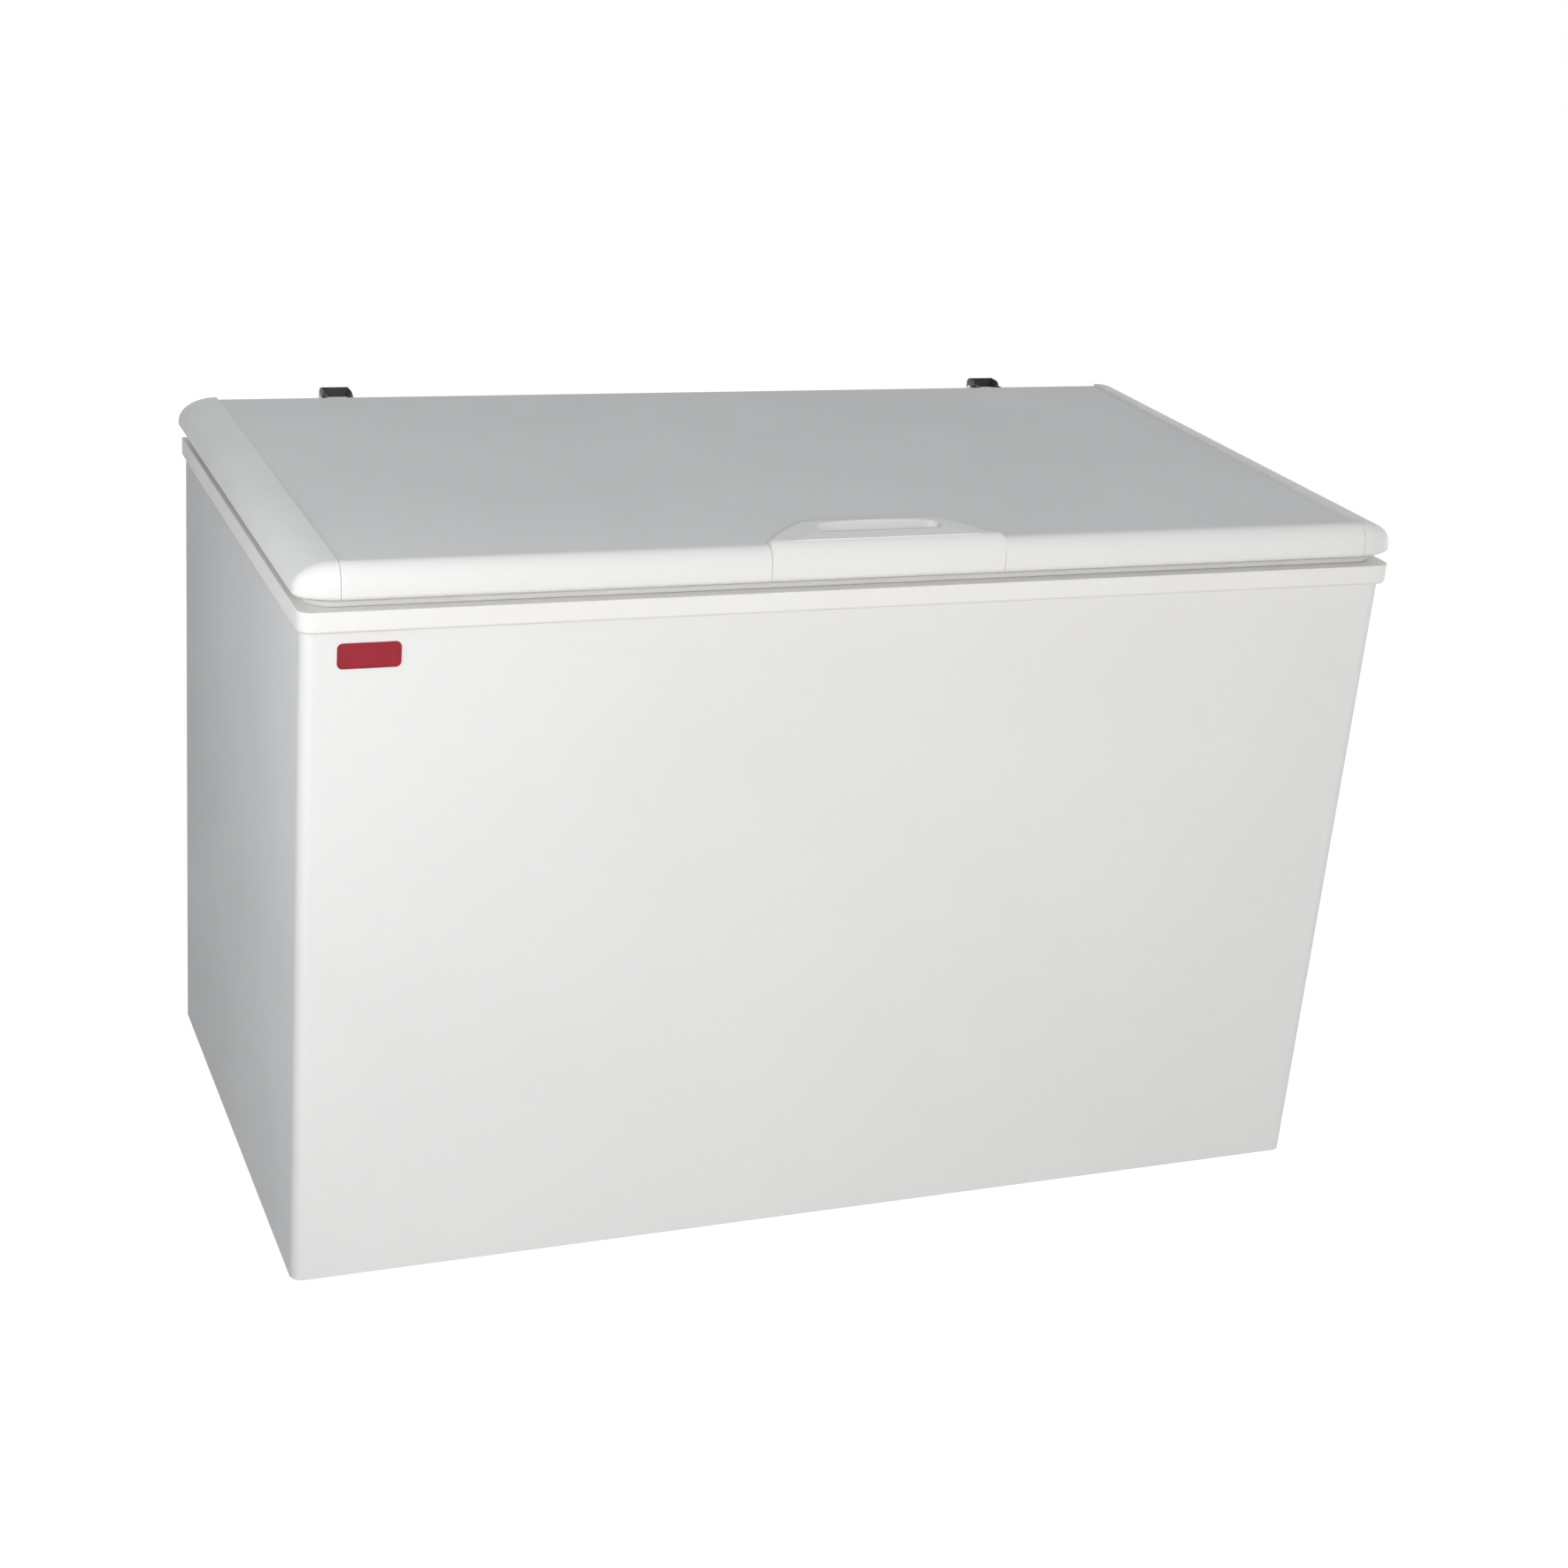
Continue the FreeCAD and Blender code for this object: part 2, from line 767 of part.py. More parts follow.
def panel_fields(inset):
    """Shallow pressed fields in the underside of the inner panel."""
    half = liner_half - plug_inset - field_margin
    width = (2 * half - field_spacing * (field_count - 1)) / field_count
    y0 = liner_front + plug_inset + field_margin - inset
    y1 = liner_back - plug_inset - field_margin + inset
    low = lid_low - plug_depth
    fields = []
    for i in range(field_count):
        x0 = -half + i * (width + field_spacing) - inset
        x1 = x0 + width + 2 * inset
        corners = [(x0, y0, plug_corner), (x1, y0, plug_corner), (x1, y1, plug_corner), (x0, y1, plug_corner)]
        face = rounded_face(corners, on_plan(low - overrun))
        fields.append(face.extrude(vec(0, 0, overrun + field_depth + inset)))
    return Part.makeCompound(fields)


def lid_inner_panel():
    top = lid_low + lid_wall
    border = plan_block(lid_half - lid_lip - seam, lid_front + lid_lip + seam, lid_back - lid_sheet - seam,
                        plug_round, 0, top - inner_sheet, top)
    shape = border.fuse(plug_block(0, top)).cut(plug_block(inner_sheet, top + overrun))
    raised = panel_fields(inner_sheet).common(plug_block(0, top))
    return shape.fuse(raised).cut(panel_fields(0)).removeSplitter()


def lid_foam(inside, inner_panel):
    half = lid_half - cap_width + lid_tuck
    sheet_room = box(-half, half, lid_front + lid_border - lid_tuck, lid_back, panel_top - lid_sheet, lid_top)
    plug = plug_block(inner_sheet, lid_low + lid_wall).cut(panel_fields(inner_sheet))
    shape = inside.cut(sheet_room).cut(pocket_cup()).fuse(plug)
    return shape.cut(inner_panel).removeSplitter()


def seal_ring(inset, width, z0, z1):
    """Closed ring that follows the lid's outline."""
    outer = plan_block(lid_half - inset, lid_front + inset, lid_back - inset, seal_corner, seal_corner, z0, z1)
    inner = inset + width
    hole = plan_block(lid_half - inner, lid_front + inner, lid_back - inner, seal_corner / 2, seal_corner / 2,
                      z0 - overrun, z1 + overrun)
    return outer.cut(hole)


def lid_gasket():
    bulb_top = lid_low - seal_base - seal_neck
    middle = seal_inset + seal_base_width / 2
    foot_ring = seal_ring(seal_inset, seal_base_width, lid_low - seal_base, lid_low)
    neck = seal_ring(middle - seal_neck_width / 2, seal_neck_width, bulb_top, lid_low - seal_base)
    bulb = seal_ring(middle - seal_bulb_width / 2, seal_bulb_width, frame_top + fit, bulb_top)
    level = [edge for edge in bulb.Edges if edge.BoundBox.ZLength < tiny]
    bulb = bulb.makeFillet(seal_bulb_round, level)
    return foot_ring.fuse(neck).fuse(bulb).removeSplitter()


# Machine bay
def mount_places():
    return [(compressor_x + sx * mount_pitch_x / 2, compressor_y + sy * mount_pitch_y / 2)
            for sx in (-1, 1) for sy in (-1, 1)]


def compressor_tray():
    shape = box(bay_left, inside_half, bay_front, inside_back, pan_low, tray_top)
    cuts = [rod(vec(x, y, base), vec(x, y, plate_low), bolt_radius + running) for x, y in mount_places()]
    for i in range(tray_slot_count):
        y = bay_front + tray_slot_from_front + i * tray_slot_pitch
        x0 = compressor_x - tray_slot_length / 2
        cuts.append(box(x0, x0 + tray_slot_length, y, y + tray_slot_width, base, plate_low))
    return shape.cut(Part.makeCompound(cuts))


def compressor():
    seam_low = plate_top + shell_seam
    corners = [
        (0, plate_top, 0),
        (shell_radius, plate_top, shell_low_round),
        (shell_radius, seam_low, 0),
        (shell_seam_radius, seam_low, 0),
        (shell_seam_radius, seam_low + shell_seam_height, 0),
        (shell_cap_radius, seam_low + shell_seam_height, 0),
        (shell_cap_radius, shell_top, shell_top_round),
        (0, shell_top, 0),
    ]
    shell = turned(corners, compressor_x, compressor_y)
    half_x = plate_length / 2
    half_y = plate_width / 2
    outline = [(compressor_x + sx * half_x, compressor_y + sy * half_y, plate_corner)
               for sx, sy in ((-1, -1), (1, -1), (1, 1), (-1, 1))]
    plate = rounded_face(outline, on_plan(plate_low)).extrude(vec(0, 0, plate_sheet))
    holes = [rod(vec(x, y, plate_low - overrun), vec(x, y, plate_top + overrun), mount_neck + running)
             for x, y in mount_places()]
    return shell.fuse(plate).cut(Part.makeCompound(holes)).removeSplitter()


def compressor_mounts():
    bore = bolt_radius + running
    cap_top = plate_top + mount_cap
    corners = [
        (bore, tray_top, 0),
        (mount_radius, tray_top, 0),
        (mount_radius, plate_low, 0),
        (mount_neck, plate_low, 0),
        (mount_neck, plate_top, 0),
        (mount_cap_radius, plate_top, 0),
        (mount_cap_radius, cap_top, 0),
        (bore, cap_top, 0),
    ]
    return Part.makeCompound([turned(corners, x, y) for x, y in mount_places()])


def compressor_bolts():
    nut_low = plate_top + mount_cap
    bolts = []
    for x, y in mount_places():
        shank = rod(vec(x, y, pan_low), vec(x, y, nut_low + 2 * bolt_head), bolt_radius)
        head = hexagon(bolt_head_radius, x, y, pan_low - bolt_head, pan_low)
        nut = hexagon(bolt_head_radius, x, y, nut_low, nut_low + bolt_head)
        bolts.append(shank.fuse(head).fuse(nut).removeSplitter())
    return Part.makeCompound(bolts)


def terminal_cover(compressor_shape):
    half = terminal_width / 2
    low = plate_top + terminal_rise
    block = box(compressor_x - half, compressor_x + half, compressor_y, compressor_y + shell_radius + terminal_reach,
                low, low + terminal_height)
    upright = [edge for edge in block.Edges
               if edge.BoundBox.ZLength > tiny and edge.BoundBox.YMin > compressor_y]
    return block.makeFillet(terminal_round, upright).cut(compressor_shape)


# Cooling circuit
condenser_x = bay_left + condenser_inlet
condenser_level = base + condenser_low
outlet_x = inside_half - condenser_outlet_inset
lines_front = bay_front + stub
inlet_x = bay_left + evaporator_inlet
evaporator_y = liner_back + liner_sheet + tube_bond + evaporator_radius
return_x = compressor_x + suction_from_middle
return_y = evaporator_y + evaporator_return
lines_top = bay_top - stub


def condenser_tube():
    """Hot gas tube that runs up the inside of the wrapper's front and left side."""
    skin_y = inside_front + tube_bond + condenser_radius
    skin_x = -inside_half + tube_bond + condenser_radius
    bend = cabinet_corner - wrapper_sheet - tube_bond - condenser_radius
    turn_x = inside_half - condenser_turn_inset
    turn_y = back - condenser_from_back
    points = [vec(condenser_x, lines_front, condenser_level), vec(condenser_x, skin_y, condenser_level)]
    levels = spread(condenser_level, frame_low - condenser_top_gap, condenser_run_count)
    for run, z in enumerate(levels):
        way = [vec(turn_x, skin_y, z), vec(skin_x, skin_y, z), vec(skin_x, turn_y, z)]
        if run % 2:
            way.reverse()
        points += way
    points.pop(2)
    points[-1].x = outlet_x
    points += [vec(outlet_x, skin_y, condenser_level), vec(outlet_x, lines_front, condenser_level)]
    return bent_tube(points, bend, condenser_radius)


def evaporator_tube():
    """Cold tube wound round the liner above the step, climbing along its back."""
    reach = liner_sheet + tube_bond + evaporator_radius
    half = liner_half + reach
    y0 = liner_front - reach
    bend = liner_corner + reach
    first = step_top + evaporator_low
    start_z = first - evaporator_inlet_drop
    points = [vec(inlet_x, evaporator_y, lines_top), vec(inlet_x, evaporator_y, start_z)]
    for z in spread(first, frame_low - evaporator_top_gap, evaporator_turn_count):
        points += [vec(-half, evaporator_y, z), vec(-half, y0, z)]
        points += [vec(half, y0, z), vec(half, evaporator_y, z)]
    points[-1].y = return_y
    points += [vec(return_x, return_y, points[-1].z), vec(return_x, return_y, lines_top)]
    return bent_tube(points, bend, evaporator_radius)


def discharge_tube(compressor_shape):
    y = compressor_y - line_bend
    points = [vec(compressor_x, y, condenser_level), vec(condenser_x, y, condenser_level),
              vec(condenser_x, lines_front, condenser_level)]
    return bent_tube(points, line_bend, line_radius).cut(compressor_shape)


def suction_tube(compressor_shape):
    z = plate_top + suction_rise
    points = [vec(return_x, return_y, lines_top), vec(return_x, return_y, z), vec(return_x, compressor_y, z)]
    return bent_tube(points, line_bend, line_radius).cut(compressor_shape)


def process_tube(compressor_shape):
    z = plate_top + suction_rise
    x = compressor_x + process_from_middle
    end_y = compressor_y - shell_radius - process_length
    return rod(vec(x, compressor_y, z), vec(x, end_y, z), line_radius).cut(compressor_shape)


def filter_drier():
    z = condenser_level
    start = lines_front
    end = start + drier_length
    corners = [
        (outlet_x, start, 0),
        (outlet_x + line_radius, start, 0),
        (outlet_x + drier_radius, start + drier_cone, 0),
        (outlet_x + drier_radius, end - drier_cone, 0),
        (outlet_x + line_radius, end, 0),
        (outlet_x, end, 0),
    ]
    return rounded_face(corners, on_plan(z)).revolve(vec(outlet_x, start, z), vec(0, 1, 0), 360)


def capillary_tube():
    start = lines_front + drier_length
    y = start + capillary_lead
    z = bay_top - capillary_drop
    points = [
        vec(outlet_x, start, condenser_level),
        vec(outlet_x, y, condenser_level),
        vec(outlet_x, y, z),
        vec(inlet_x, y, z),
        vec(inlet_x, evaporator_y, z),
        vec(inlet_x, evaporator_y, lines_top),
    ]
    return bent_tube(points, capillary_bend, capillary_radius)


# Side grille and thermostat
def grille_outline(inset):
    y0 = grille_front + inset
    y1 = grille_back - inset
    z0 = grille_low + inset
    z1 = grille_high - inset
    return [(y0, z0, grille_corner), (y1, z0, grille_corner), (y1, z1, grille_corner), (y0, z1, grille_corner)]


def grille_opening(gap):
    """Hole in the wrapper that the grille's body fills with a gap around it."""
    face = rounded_face(grille_outline(grille_margin - gap), on_side(half_width - overrun))
    return face.extrude(vec(2 * overrun, 0, 0))


def side_grille():
    flange = rounded_face(grille_outline(0), on_side(half_width)).extrude(vec(grille_flange, 0, 0))
    body = rounded_face(grille_outline(grille_margin), on_side(half_width - grille_depth))
    shape = flange.fuse(body.extrude(vec(grille_depth, 0, 0)))
    axis_floor = vec(dish_floor - grille_wall, dish_y, dish_z)
    shape = shape.fuse(rod(axis_floor, vec(half_width, dish_y, dish_z), dish_radius + grille_wall))
    axis_out = vec(half_width + overrun, dish_y, dish_z)
    shape = shape.cut(rod(vec(dish_floor, dish_y, dish_z), axis_out, dish_radius))
    hole = rod(vec(dish_floor - overrun, dish_y, dish_z), vec(half_width, dish_y, dish_z), spindle_radius + fit)
    slots = grille_slots()
    return shape.cut(hole).cut(slots).removeSplitter()


def grille_slots():
    """Sloping air slots in banks between the front end and the dish."""
    y0 = grille_front + grille_margin + slot_border
    y1 = dish_y - dish_radius - grille_wall - slot_border
    bank = (y1 - y0 - slot_rib * (slot_banks - 1)) / slot_banks
    low = grille_low + grille_margin + slot_border
    high = grille_high - grille_margin - slot_border - slot_height - slot_slope
    x0 = half_width - grille_depth - overrun
    x1 = half_width + grille_flange + overrun
    slots = []
    for z in spread(low, high, slot_count):
        for i in range(slot_banks):
            y = y0 + i * (bank + slot_rib)
            corners = [(x0, z + slot_slope, 0), (x1, z, 0), (x1, z + slot_height, 0),
                       (x0, z + slot_slope + slot_height, 0)]
            slots.append(rounded_face(corners, on_front(y)).extrude(vec(0, bank, 0)))
    return Part.makeCompound(slots)


def thermostat_body():
    x1 = dish_floor - grille_wall
    half_y = thermostat_length / 2
    half_z = thermostat_height / 2
    block = box(x1 - thermostat_depth, x1, dish_y - half_y, dish_y + half_y, dish_z - half_z, dish_z + half_z)
    bore = rod(vec(x1 - spindle_reach - fit, dish_y, dish_z), vec(x1 + overrun, dish_y, dish_z),
               spindle_radius + running)
    return block.cut(bore)


def thermostat_knob():
    low = dish_floor + fit
    high = half_width + grille_flange + knob_proud
    disc = rod(vec(low, dish_y, dish_z), vec(low + knob_disc, dish_y, dish_z), knob_radius)
    ring = [edge for edge in disc.Edges if edge.BoundBox.XMin > low + tiny and edge.BoundBox.XLength < tiny]
    disc = disc.makeFillet(knob_disc / 2, ring)
    round_bar = rod(vec(low, dish_y, dish_z), vec(high, dish_y, dish_z), knob_radius)
    half = knob_grip / 2
    bar = box(low, high, dish_y - half, dish_y + half, dish_z - knob_radius, dish_z + knob_radius).common(round_bar)
    tip = dish_floor - grille_wall - spindle_reach
    spindle = rod(vec(tip, dish_y, dish_z), vec(low + knob_disc / 2, dish_y, dish_z), spindle_radius)
    return disc.fuse(bar).fuse(spindle).removeSplitter()


# Rear cover
def cover_outline(inset):
    x1 = half_width - cover_from_side - inset
    x0 = half_width - cover_from_side - cover_length + inset
    z0 = base + cover_from_base + inset
    z1 = base + cover_from_base + cover_height - inset
    return [(x0, z0, cover_corner), (x1, z0, cover_corner), (x1, z1, cover_corner), (x0, z1, cover_corner)]


def gland_place():
    x, z, rounding = cover_outline(cover_flange)[0]
    return x + gland_from_corner, z + gland_from_corner


def rear_cover():
    """Pressed sheet: a flat border and a raised field with rows of air slots."""
    border = rounded_face(cover_outline(0), on_front(back)).extrude(vec(0, cover_sheet, 0))
    field = rounded_face(cover_outline(cover_flange), on_front(back)).extrude(vec(0, cover_raise, 0))
    hollow = rounded_face(cover_outline(cover_flange + cover_sheet), on_front(back - overrun))
    shape = border.fuse(field).cut(hollow.extrude(vec(0, overrun + cover_raise - cover_sheet, 0)))
    x0, z0, rounding = cover_outline(cover_flange)[0]
    x1, z1, rounding = cover_outline(cover_flange)[2]
    gap = (x1 - x0 - cover_slot_column_count * cover_slot_length) / (cover_slot_column_count + 1)
    cuts = []
    for row in range(cover_slot_row_count):
        z = z1 - cover_slot_from_top - row * cover_slot_pitch
        for column in range(cover_slot_column_count):
            x = x0 + gap + column * (cover_slot_length + gap)
            half = cover_slot_height / 2
            corners = [(x, z, half), (x + cover_slot_length, z, half),
                       (x + cover_slot_length, z + cover_slot_height, half), (x, z + cover_slot_height, half)]
            cuts.append(rounded_face(corners, on_front(back)).extrude(vec(0, cover_raise + overrun, 0)))
    x, z = gland_place()
    cuts.append(rod(vec(x, back, z), vec(x, back + cover_raise + overrun, z), gland_neck + running))
    return shape.cut(Part.makeCompound(cuts)).removeSplitter()


def cord_gland():
    """Bush in the rear cover where a supply cord would pass."""
    x, z = gland_place()
    outer = back + cover_raise
    inner = outer - cover_sheet
    corners = [
        (x + gland_bore, inner - gland_lip, 0),
        (x + gland_radius, inner - gland_lip, 0),
        (x + gland_radius, inner, 0),
        (x + gland_neck, inner, 0),
        (x + gland_neck, outer, 0),
        (x + gland_radius, outer, 0),
        (x + gland_radius, outer + gland_lip, 0),
        (x + gland_bore, outer + gland_lip, 0),
    ]
    face = rounded_face([(u, v, rounding) for u, v, rounding in corners], on_plan(z))
    return face.revolve(vec(x, 0, z), vec(0, 1, 0), 360)


# Drain
def drain_hole(radius):
    return rod(vec(drain_x, drain_y, base - overrun), vec(drain_x, drain_y, liner_floor + overrun), radius)


def drain_tube():
    outer = rod(vec(drain_x, drain_y, base - drain_below), vec(drain_x, drain_y, liner_floor), drain_radius)
    return outer.cut(rod(vec(drain_x, drain_y, 0), vec(drain_x, drain_y, rim), drain_bore))


def drain_plug():
    low = liner_floor + fit
    corners = [
        (0, low - plug_length, 0),
        (plug_radius, low - plug_length, 0),
        (plug_radius, low, 0),
        (plug_flange_radius, low, 0),
        (plug_flange_radius, low + plug_flange, 0),
        (0, low + plug_flange, 0),
    ]
    half = plug_tab_width / 2
    half_y = plug_tab_thickness / 2
    tab = box(drain_x - half, drain_x + half, drain_y - half_y, drain_y + half_y, low, low + plug_flange + plug_tab)
    return turned(corners, drain_x, drain_y).fuse(tab).removeSplitter()


# Basket
basket_x1 = liner_half - basket_side_gap
basket_x0 = basket_x1 - basket_length
basket_y0 = liner_front + basket_wall_gap
basket_y1 = liner_back - basket_wall_gap
basket_rim_z = frame_top - basket_drop - basket_rim_radius
basket_low_z = basket_rim_z - basket_height
bar_inset = basket_rim_radius + basket_wire_radius


def basket_loop(inset, z, radius):
    """Closed wire round the basket."""
    middle = (basket_x0 + basket_x1) / 2
    corner = basket_corner - inset
    corners = [
        (middle, basket_y0 + inset, 0),
        (basket_x1 - inset, basket_y0 + inset, corner),
        (basket_x1 - inset, basket_y1 - inset, corner),
        (basket_x0 + inset, basket_y1 - inset, corner),
        (basket_x0 + inset, basket_y0 + inset, corner),
    ]
    points = [vec(x, y, z) for x, y, rounding in corners]
    radii = [rounding for x, y, rounding in corners]
    path = Part.Wire(rounded_edges(points, radii, True))
    section = Part.Wire(Part.makeCircle(radius, points[0], vec(1, 0, 0)))
    return path.makePipeShell([section], True, False)


def basket_rim():
    """Rim wire with a hanger at the front and the back, which rests on the top frame."""
    loop = basket_loop(0, basket_rim_z, basket_rim_radius)
    middle = (basket_x0 + basket_x1) / 2
    half = hanger_length / 2
    z = frame_top + fit + basket_rim_radius
    shapes = [loop]
    for y, side in ((basket_y0, -1), (basket_y1, 1)):
        out = y + side * hanger_reach
        points = [vec(middle - half, y, basket_rim_z), vec(middle - half, y, z), vec(middle - half, out, z),
                  vec(middle + half, out, z), vec(middle + half, y, z), vec(middle + half, y, basket_rim_z)]
        shapes.append(bent_tube(points, hanger_bend, basket_rim_radius).cut(loop))
    return Part.makeCompound(shapes)


def basket_bar_places():
    xs = spread(basket_x0 + basket_corner, basket_x1 - basket_corner, basket_long_bar_count)
    ys = spread(basket_y0 + basket_corner, basket_y1 - basket_corner, basket_cross_bar_count)
    return xs, ys


def basket_floor():
    """Two layers of bars between the upright bars, over the bottom wire."""
    xs, ys = basket_bar_places()
    end = bar_inset + basket_wire_radius
    z = basket_low_z + bar_inset
    upper = z + 2 * basket_wire_radius
    shapes = []
    for x in xs:
        shapes.append(rod(vec(x, basket_y0 + end, z), vec(x, basket_y1 - end, z), basket_wire_radius))
    for y in ys:
        shapes.append(rod(vec(basket_x0 + end, y, upper), vec(basket_x1 - end, y, upper), basket_wire_radius))
    return Part.makeCompound(shapes)


def basket_walls():
    """Upright bars inside the rim and the bottom wire."""
    xs, ys = basket_bar_places()
    low = basket_low_z
    high = basket_rim_z
    places = [(x, basket_y0 + bar_inset) for x in xs]
    places += [(x, basket_y1 - bar_inset) for x in xs]
    places += [(basket_x0 + bar_inset, y) for y in ys]
    places += [(basket_x1 - bar_inset, y) for y in ys]
    return Part.makeCompound([rod(vec(x, y, low), vec(x, y, high), basket_wire_radius) for x, y in places])


def basket_bands():
    """Wires round the outside of the upright bars."""
    inset = bar_inset - 2 * basket_wire_radius
    heights = spread(basket_low_z, basket_rim_z, basket_band_count + 2)[1:-1]
    return Part.makeCompound([basket_loop(inset, z, basket_wire_radius) for z in heights])


def main():
    os.makedirs("parts", exist_ok=True)
    condenser = condenser_tube()
    evaporator = evaporator_tube()
    tubes = Part.makeCompound([condenser, evaporator])
    liner_outside = liner_block(liner_sheet)
    compressor_shape = compressor()
    lid_outside = lid_block(0, 0)
    lid_inside = lid_block(lid_wall, 0)
    inner_panel = lid_inner_panel()
    pieces = {
        "outer_wrapper": outer_wrapper(),
        "back_panel": back_panel(),
        "base_pan": base_pan(tubes),
        "cabinet_foam": cabinet_foam(liner_outside, tubes),
        "inner_liner": inner_liner(liner_block(0), liner_outside),
        "top_frame": top_frame(),
        "evaporator_tube": evaporator,
        "condenser_tube": condenser,
        "compressor_tray": compressor_tray(),
        "compressor": compressor_shape,
        "compressor_mounts": compressor_mounts(),
        "compressor_bolts": compressor_bolts(),
        "terminal_cover": terminal_cover(compressor_shape),
        "discharge_tube": discharge_tube(compressor_shape),
        "suction_tube": suction_tube(compressor_shape),
        "process_tube": process_tube(compressor_shape),
        "filter_drier": filter_drier(),
        "capillary_tube": capillary_tube(),
        "side_grille": side_grille(),
        "thermostat_body": thermostat_body(),
        "thermostat_knob": thermostat_knob(),
        "rear_cover": rear_cover(),
        "cord_gland": cord_gland(),
        "drain_tube": drain_tube(),
        "drain_plug": drain_plug(),
        "lid_top_panel": lid_top_panel(),
        "lid_foam": lid_foam(lid_inside, inner_panel),
        "lid_inner_panel": inner_panel,
        "lid_handle": lid_handle(lid_inside),
        "lid_gasket": lid_gasket(),
        "basket_rim": basket_rim(),
        "basket_bottom_ring": basket_loop(0, basket_low_z, basket_rim_radius),
        "basket_floor": basket_floor(),
        "basket_walls": basket_walls(),
        "basket_bands": basket_bands(),
    }
    for name, side in sides:
        hinge_x = side * (half_width - hinge_from_side)
        foot_x = side * (half_width - foot_inset)
        pieces["lid_end_cap_" + name] = lid_end_cap(lid_outside, lid_inside, side)
        pieces["lid_front_profile_" + name] = lid_front_profile(lid_outside, lid_inside, side)
        pieces["hinge_cabinet_leaf_" + name] = hinge_cabinet_leaf(hinge_x)
        pieces["hinge_lid_leaf_" + name] = hinge_lid_leaf(hinge_x)
        pieces["hinge_pin_" + name] = hinge_pin(hinge_x)
        pieces["foot_front_" + name] = foot(foot_x, front + foot_inset)
        pieces["foot_rear_" + name] = foot(foot_x, back - foot_inset)
    for name, shape in pieces.items():
        print(name, len(shape.Solids), shape.isValid(), round(shape.Volume / 1000, 1))
        shape.exportStep("parts/" + name + ".step")


main()
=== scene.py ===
"""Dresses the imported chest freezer: finishes, small fittings, a studio and the camera."""
import json
import math

import bmesh
import bpy
from mathutils import Matrix, Vector


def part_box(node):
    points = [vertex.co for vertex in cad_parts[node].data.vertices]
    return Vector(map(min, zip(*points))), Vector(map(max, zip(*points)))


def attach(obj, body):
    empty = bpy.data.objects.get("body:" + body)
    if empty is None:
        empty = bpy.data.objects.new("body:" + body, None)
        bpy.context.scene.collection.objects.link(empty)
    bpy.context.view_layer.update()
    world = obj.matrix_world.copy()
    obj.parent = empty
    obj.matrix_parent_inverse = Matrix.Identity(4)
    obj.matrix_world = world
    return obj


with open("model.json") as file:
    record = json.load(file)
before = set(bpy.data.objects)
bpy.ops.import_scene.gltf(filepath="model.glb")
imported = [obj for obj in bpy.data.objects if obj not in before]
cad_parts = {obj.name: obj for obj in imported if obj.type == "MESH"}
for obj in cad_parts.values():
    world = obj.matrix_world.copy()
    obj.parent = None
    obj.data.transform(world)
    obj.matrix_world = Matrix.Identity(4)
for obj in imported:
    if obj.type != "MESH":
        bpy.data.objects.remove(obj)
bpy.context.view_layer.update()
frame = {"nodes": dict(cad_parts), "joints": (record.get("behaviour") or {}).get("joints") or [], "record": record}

MM = 0.001
scene = bpy.context.scene

# Camera at the photograph's view
CAMERA_PLACE = (-1.1975, -2.8573, 1.6839)
CAMERA_TURN = math.radians(-22.283)
CAMERA_TILT = math.radians(67.780)
CAMERA_ROLL = math.radians(4.606)
CAMERA_LENS_MM = 60.279
CAMERA_SENSOR_MM = 36.0
CAMERA_SHIFT = (0.0384, 0.0077)

# Studio
FLOOR_SIZE = 14.0
FLOOR_COLOUR = (0.50, 0.50, 0.50, 1.0)
FLOOR_GLOW = 0.85
# Light from the sky grows along the lean, which points up and to the right
SKY_COLOUR = (0.94, 0.97, 1.0, 1.0)
SKY_STRENGTH = 0.38
SKY_BASE = 0.5
SKY_LEAN = (0.45, 0.0, 0.75)
BACKGROUND_COLOUR = (1.0, 1.0, 1.0, 1.0)
BACKGROUND_STRENGTH = 1.0
STUDIO_AIM = (0.0, -0.2, 0.45)
# name: place, width, height, watts, colour
STUDIO_LAMPS = {
    "key_lamp": ((-1.0, -3.4, 1.85), 0.8, 0.5, 54.0, (1.0, 0.985, 0.965)),
    "front_fill_lamp": ((1.3, -3.2, 0.55), 1.4, 0.6, 14.0, (1.0, 0.97, 0.945)),
    "corner_lamp": ((-1.45, -0.75, 1.05), 0.6, 0.6, 4.6, (0.96, 0.975, 1.0)),
    "right_fill_lamp": ((3.3, 0.3, 0.5), 1.6, 0.6, 14.0, (1.0, 0.99, 0.98)),
    "back_fill_lamp": ((0.9, 3.3, 0.5), 2.0, 0.6, 24.0, (1.0, 0.99, 0.98)),
}

# Badge plate on the front
BADGE_LEFT = -612.5 * MM
BADGE_LOW = 753 * MM
BADGE_WIDTH = 68 * MM
BADGE_HEIGHT = 28 * MM
BADGE_THICKNESS = 1.4 * MM
BADGE_CORNER = 6 * MM
BADGE_CORNER_STEPS = 8
BADGE_RIM = 1.6 * MM
BADGE_RIM_DEPTH = 0.35 * MM
BADGE_EDGE = 0.4 * MM
BADGE_EDGE_STEPS = 3
BADGE_EDGE_PROFILE = 0.5

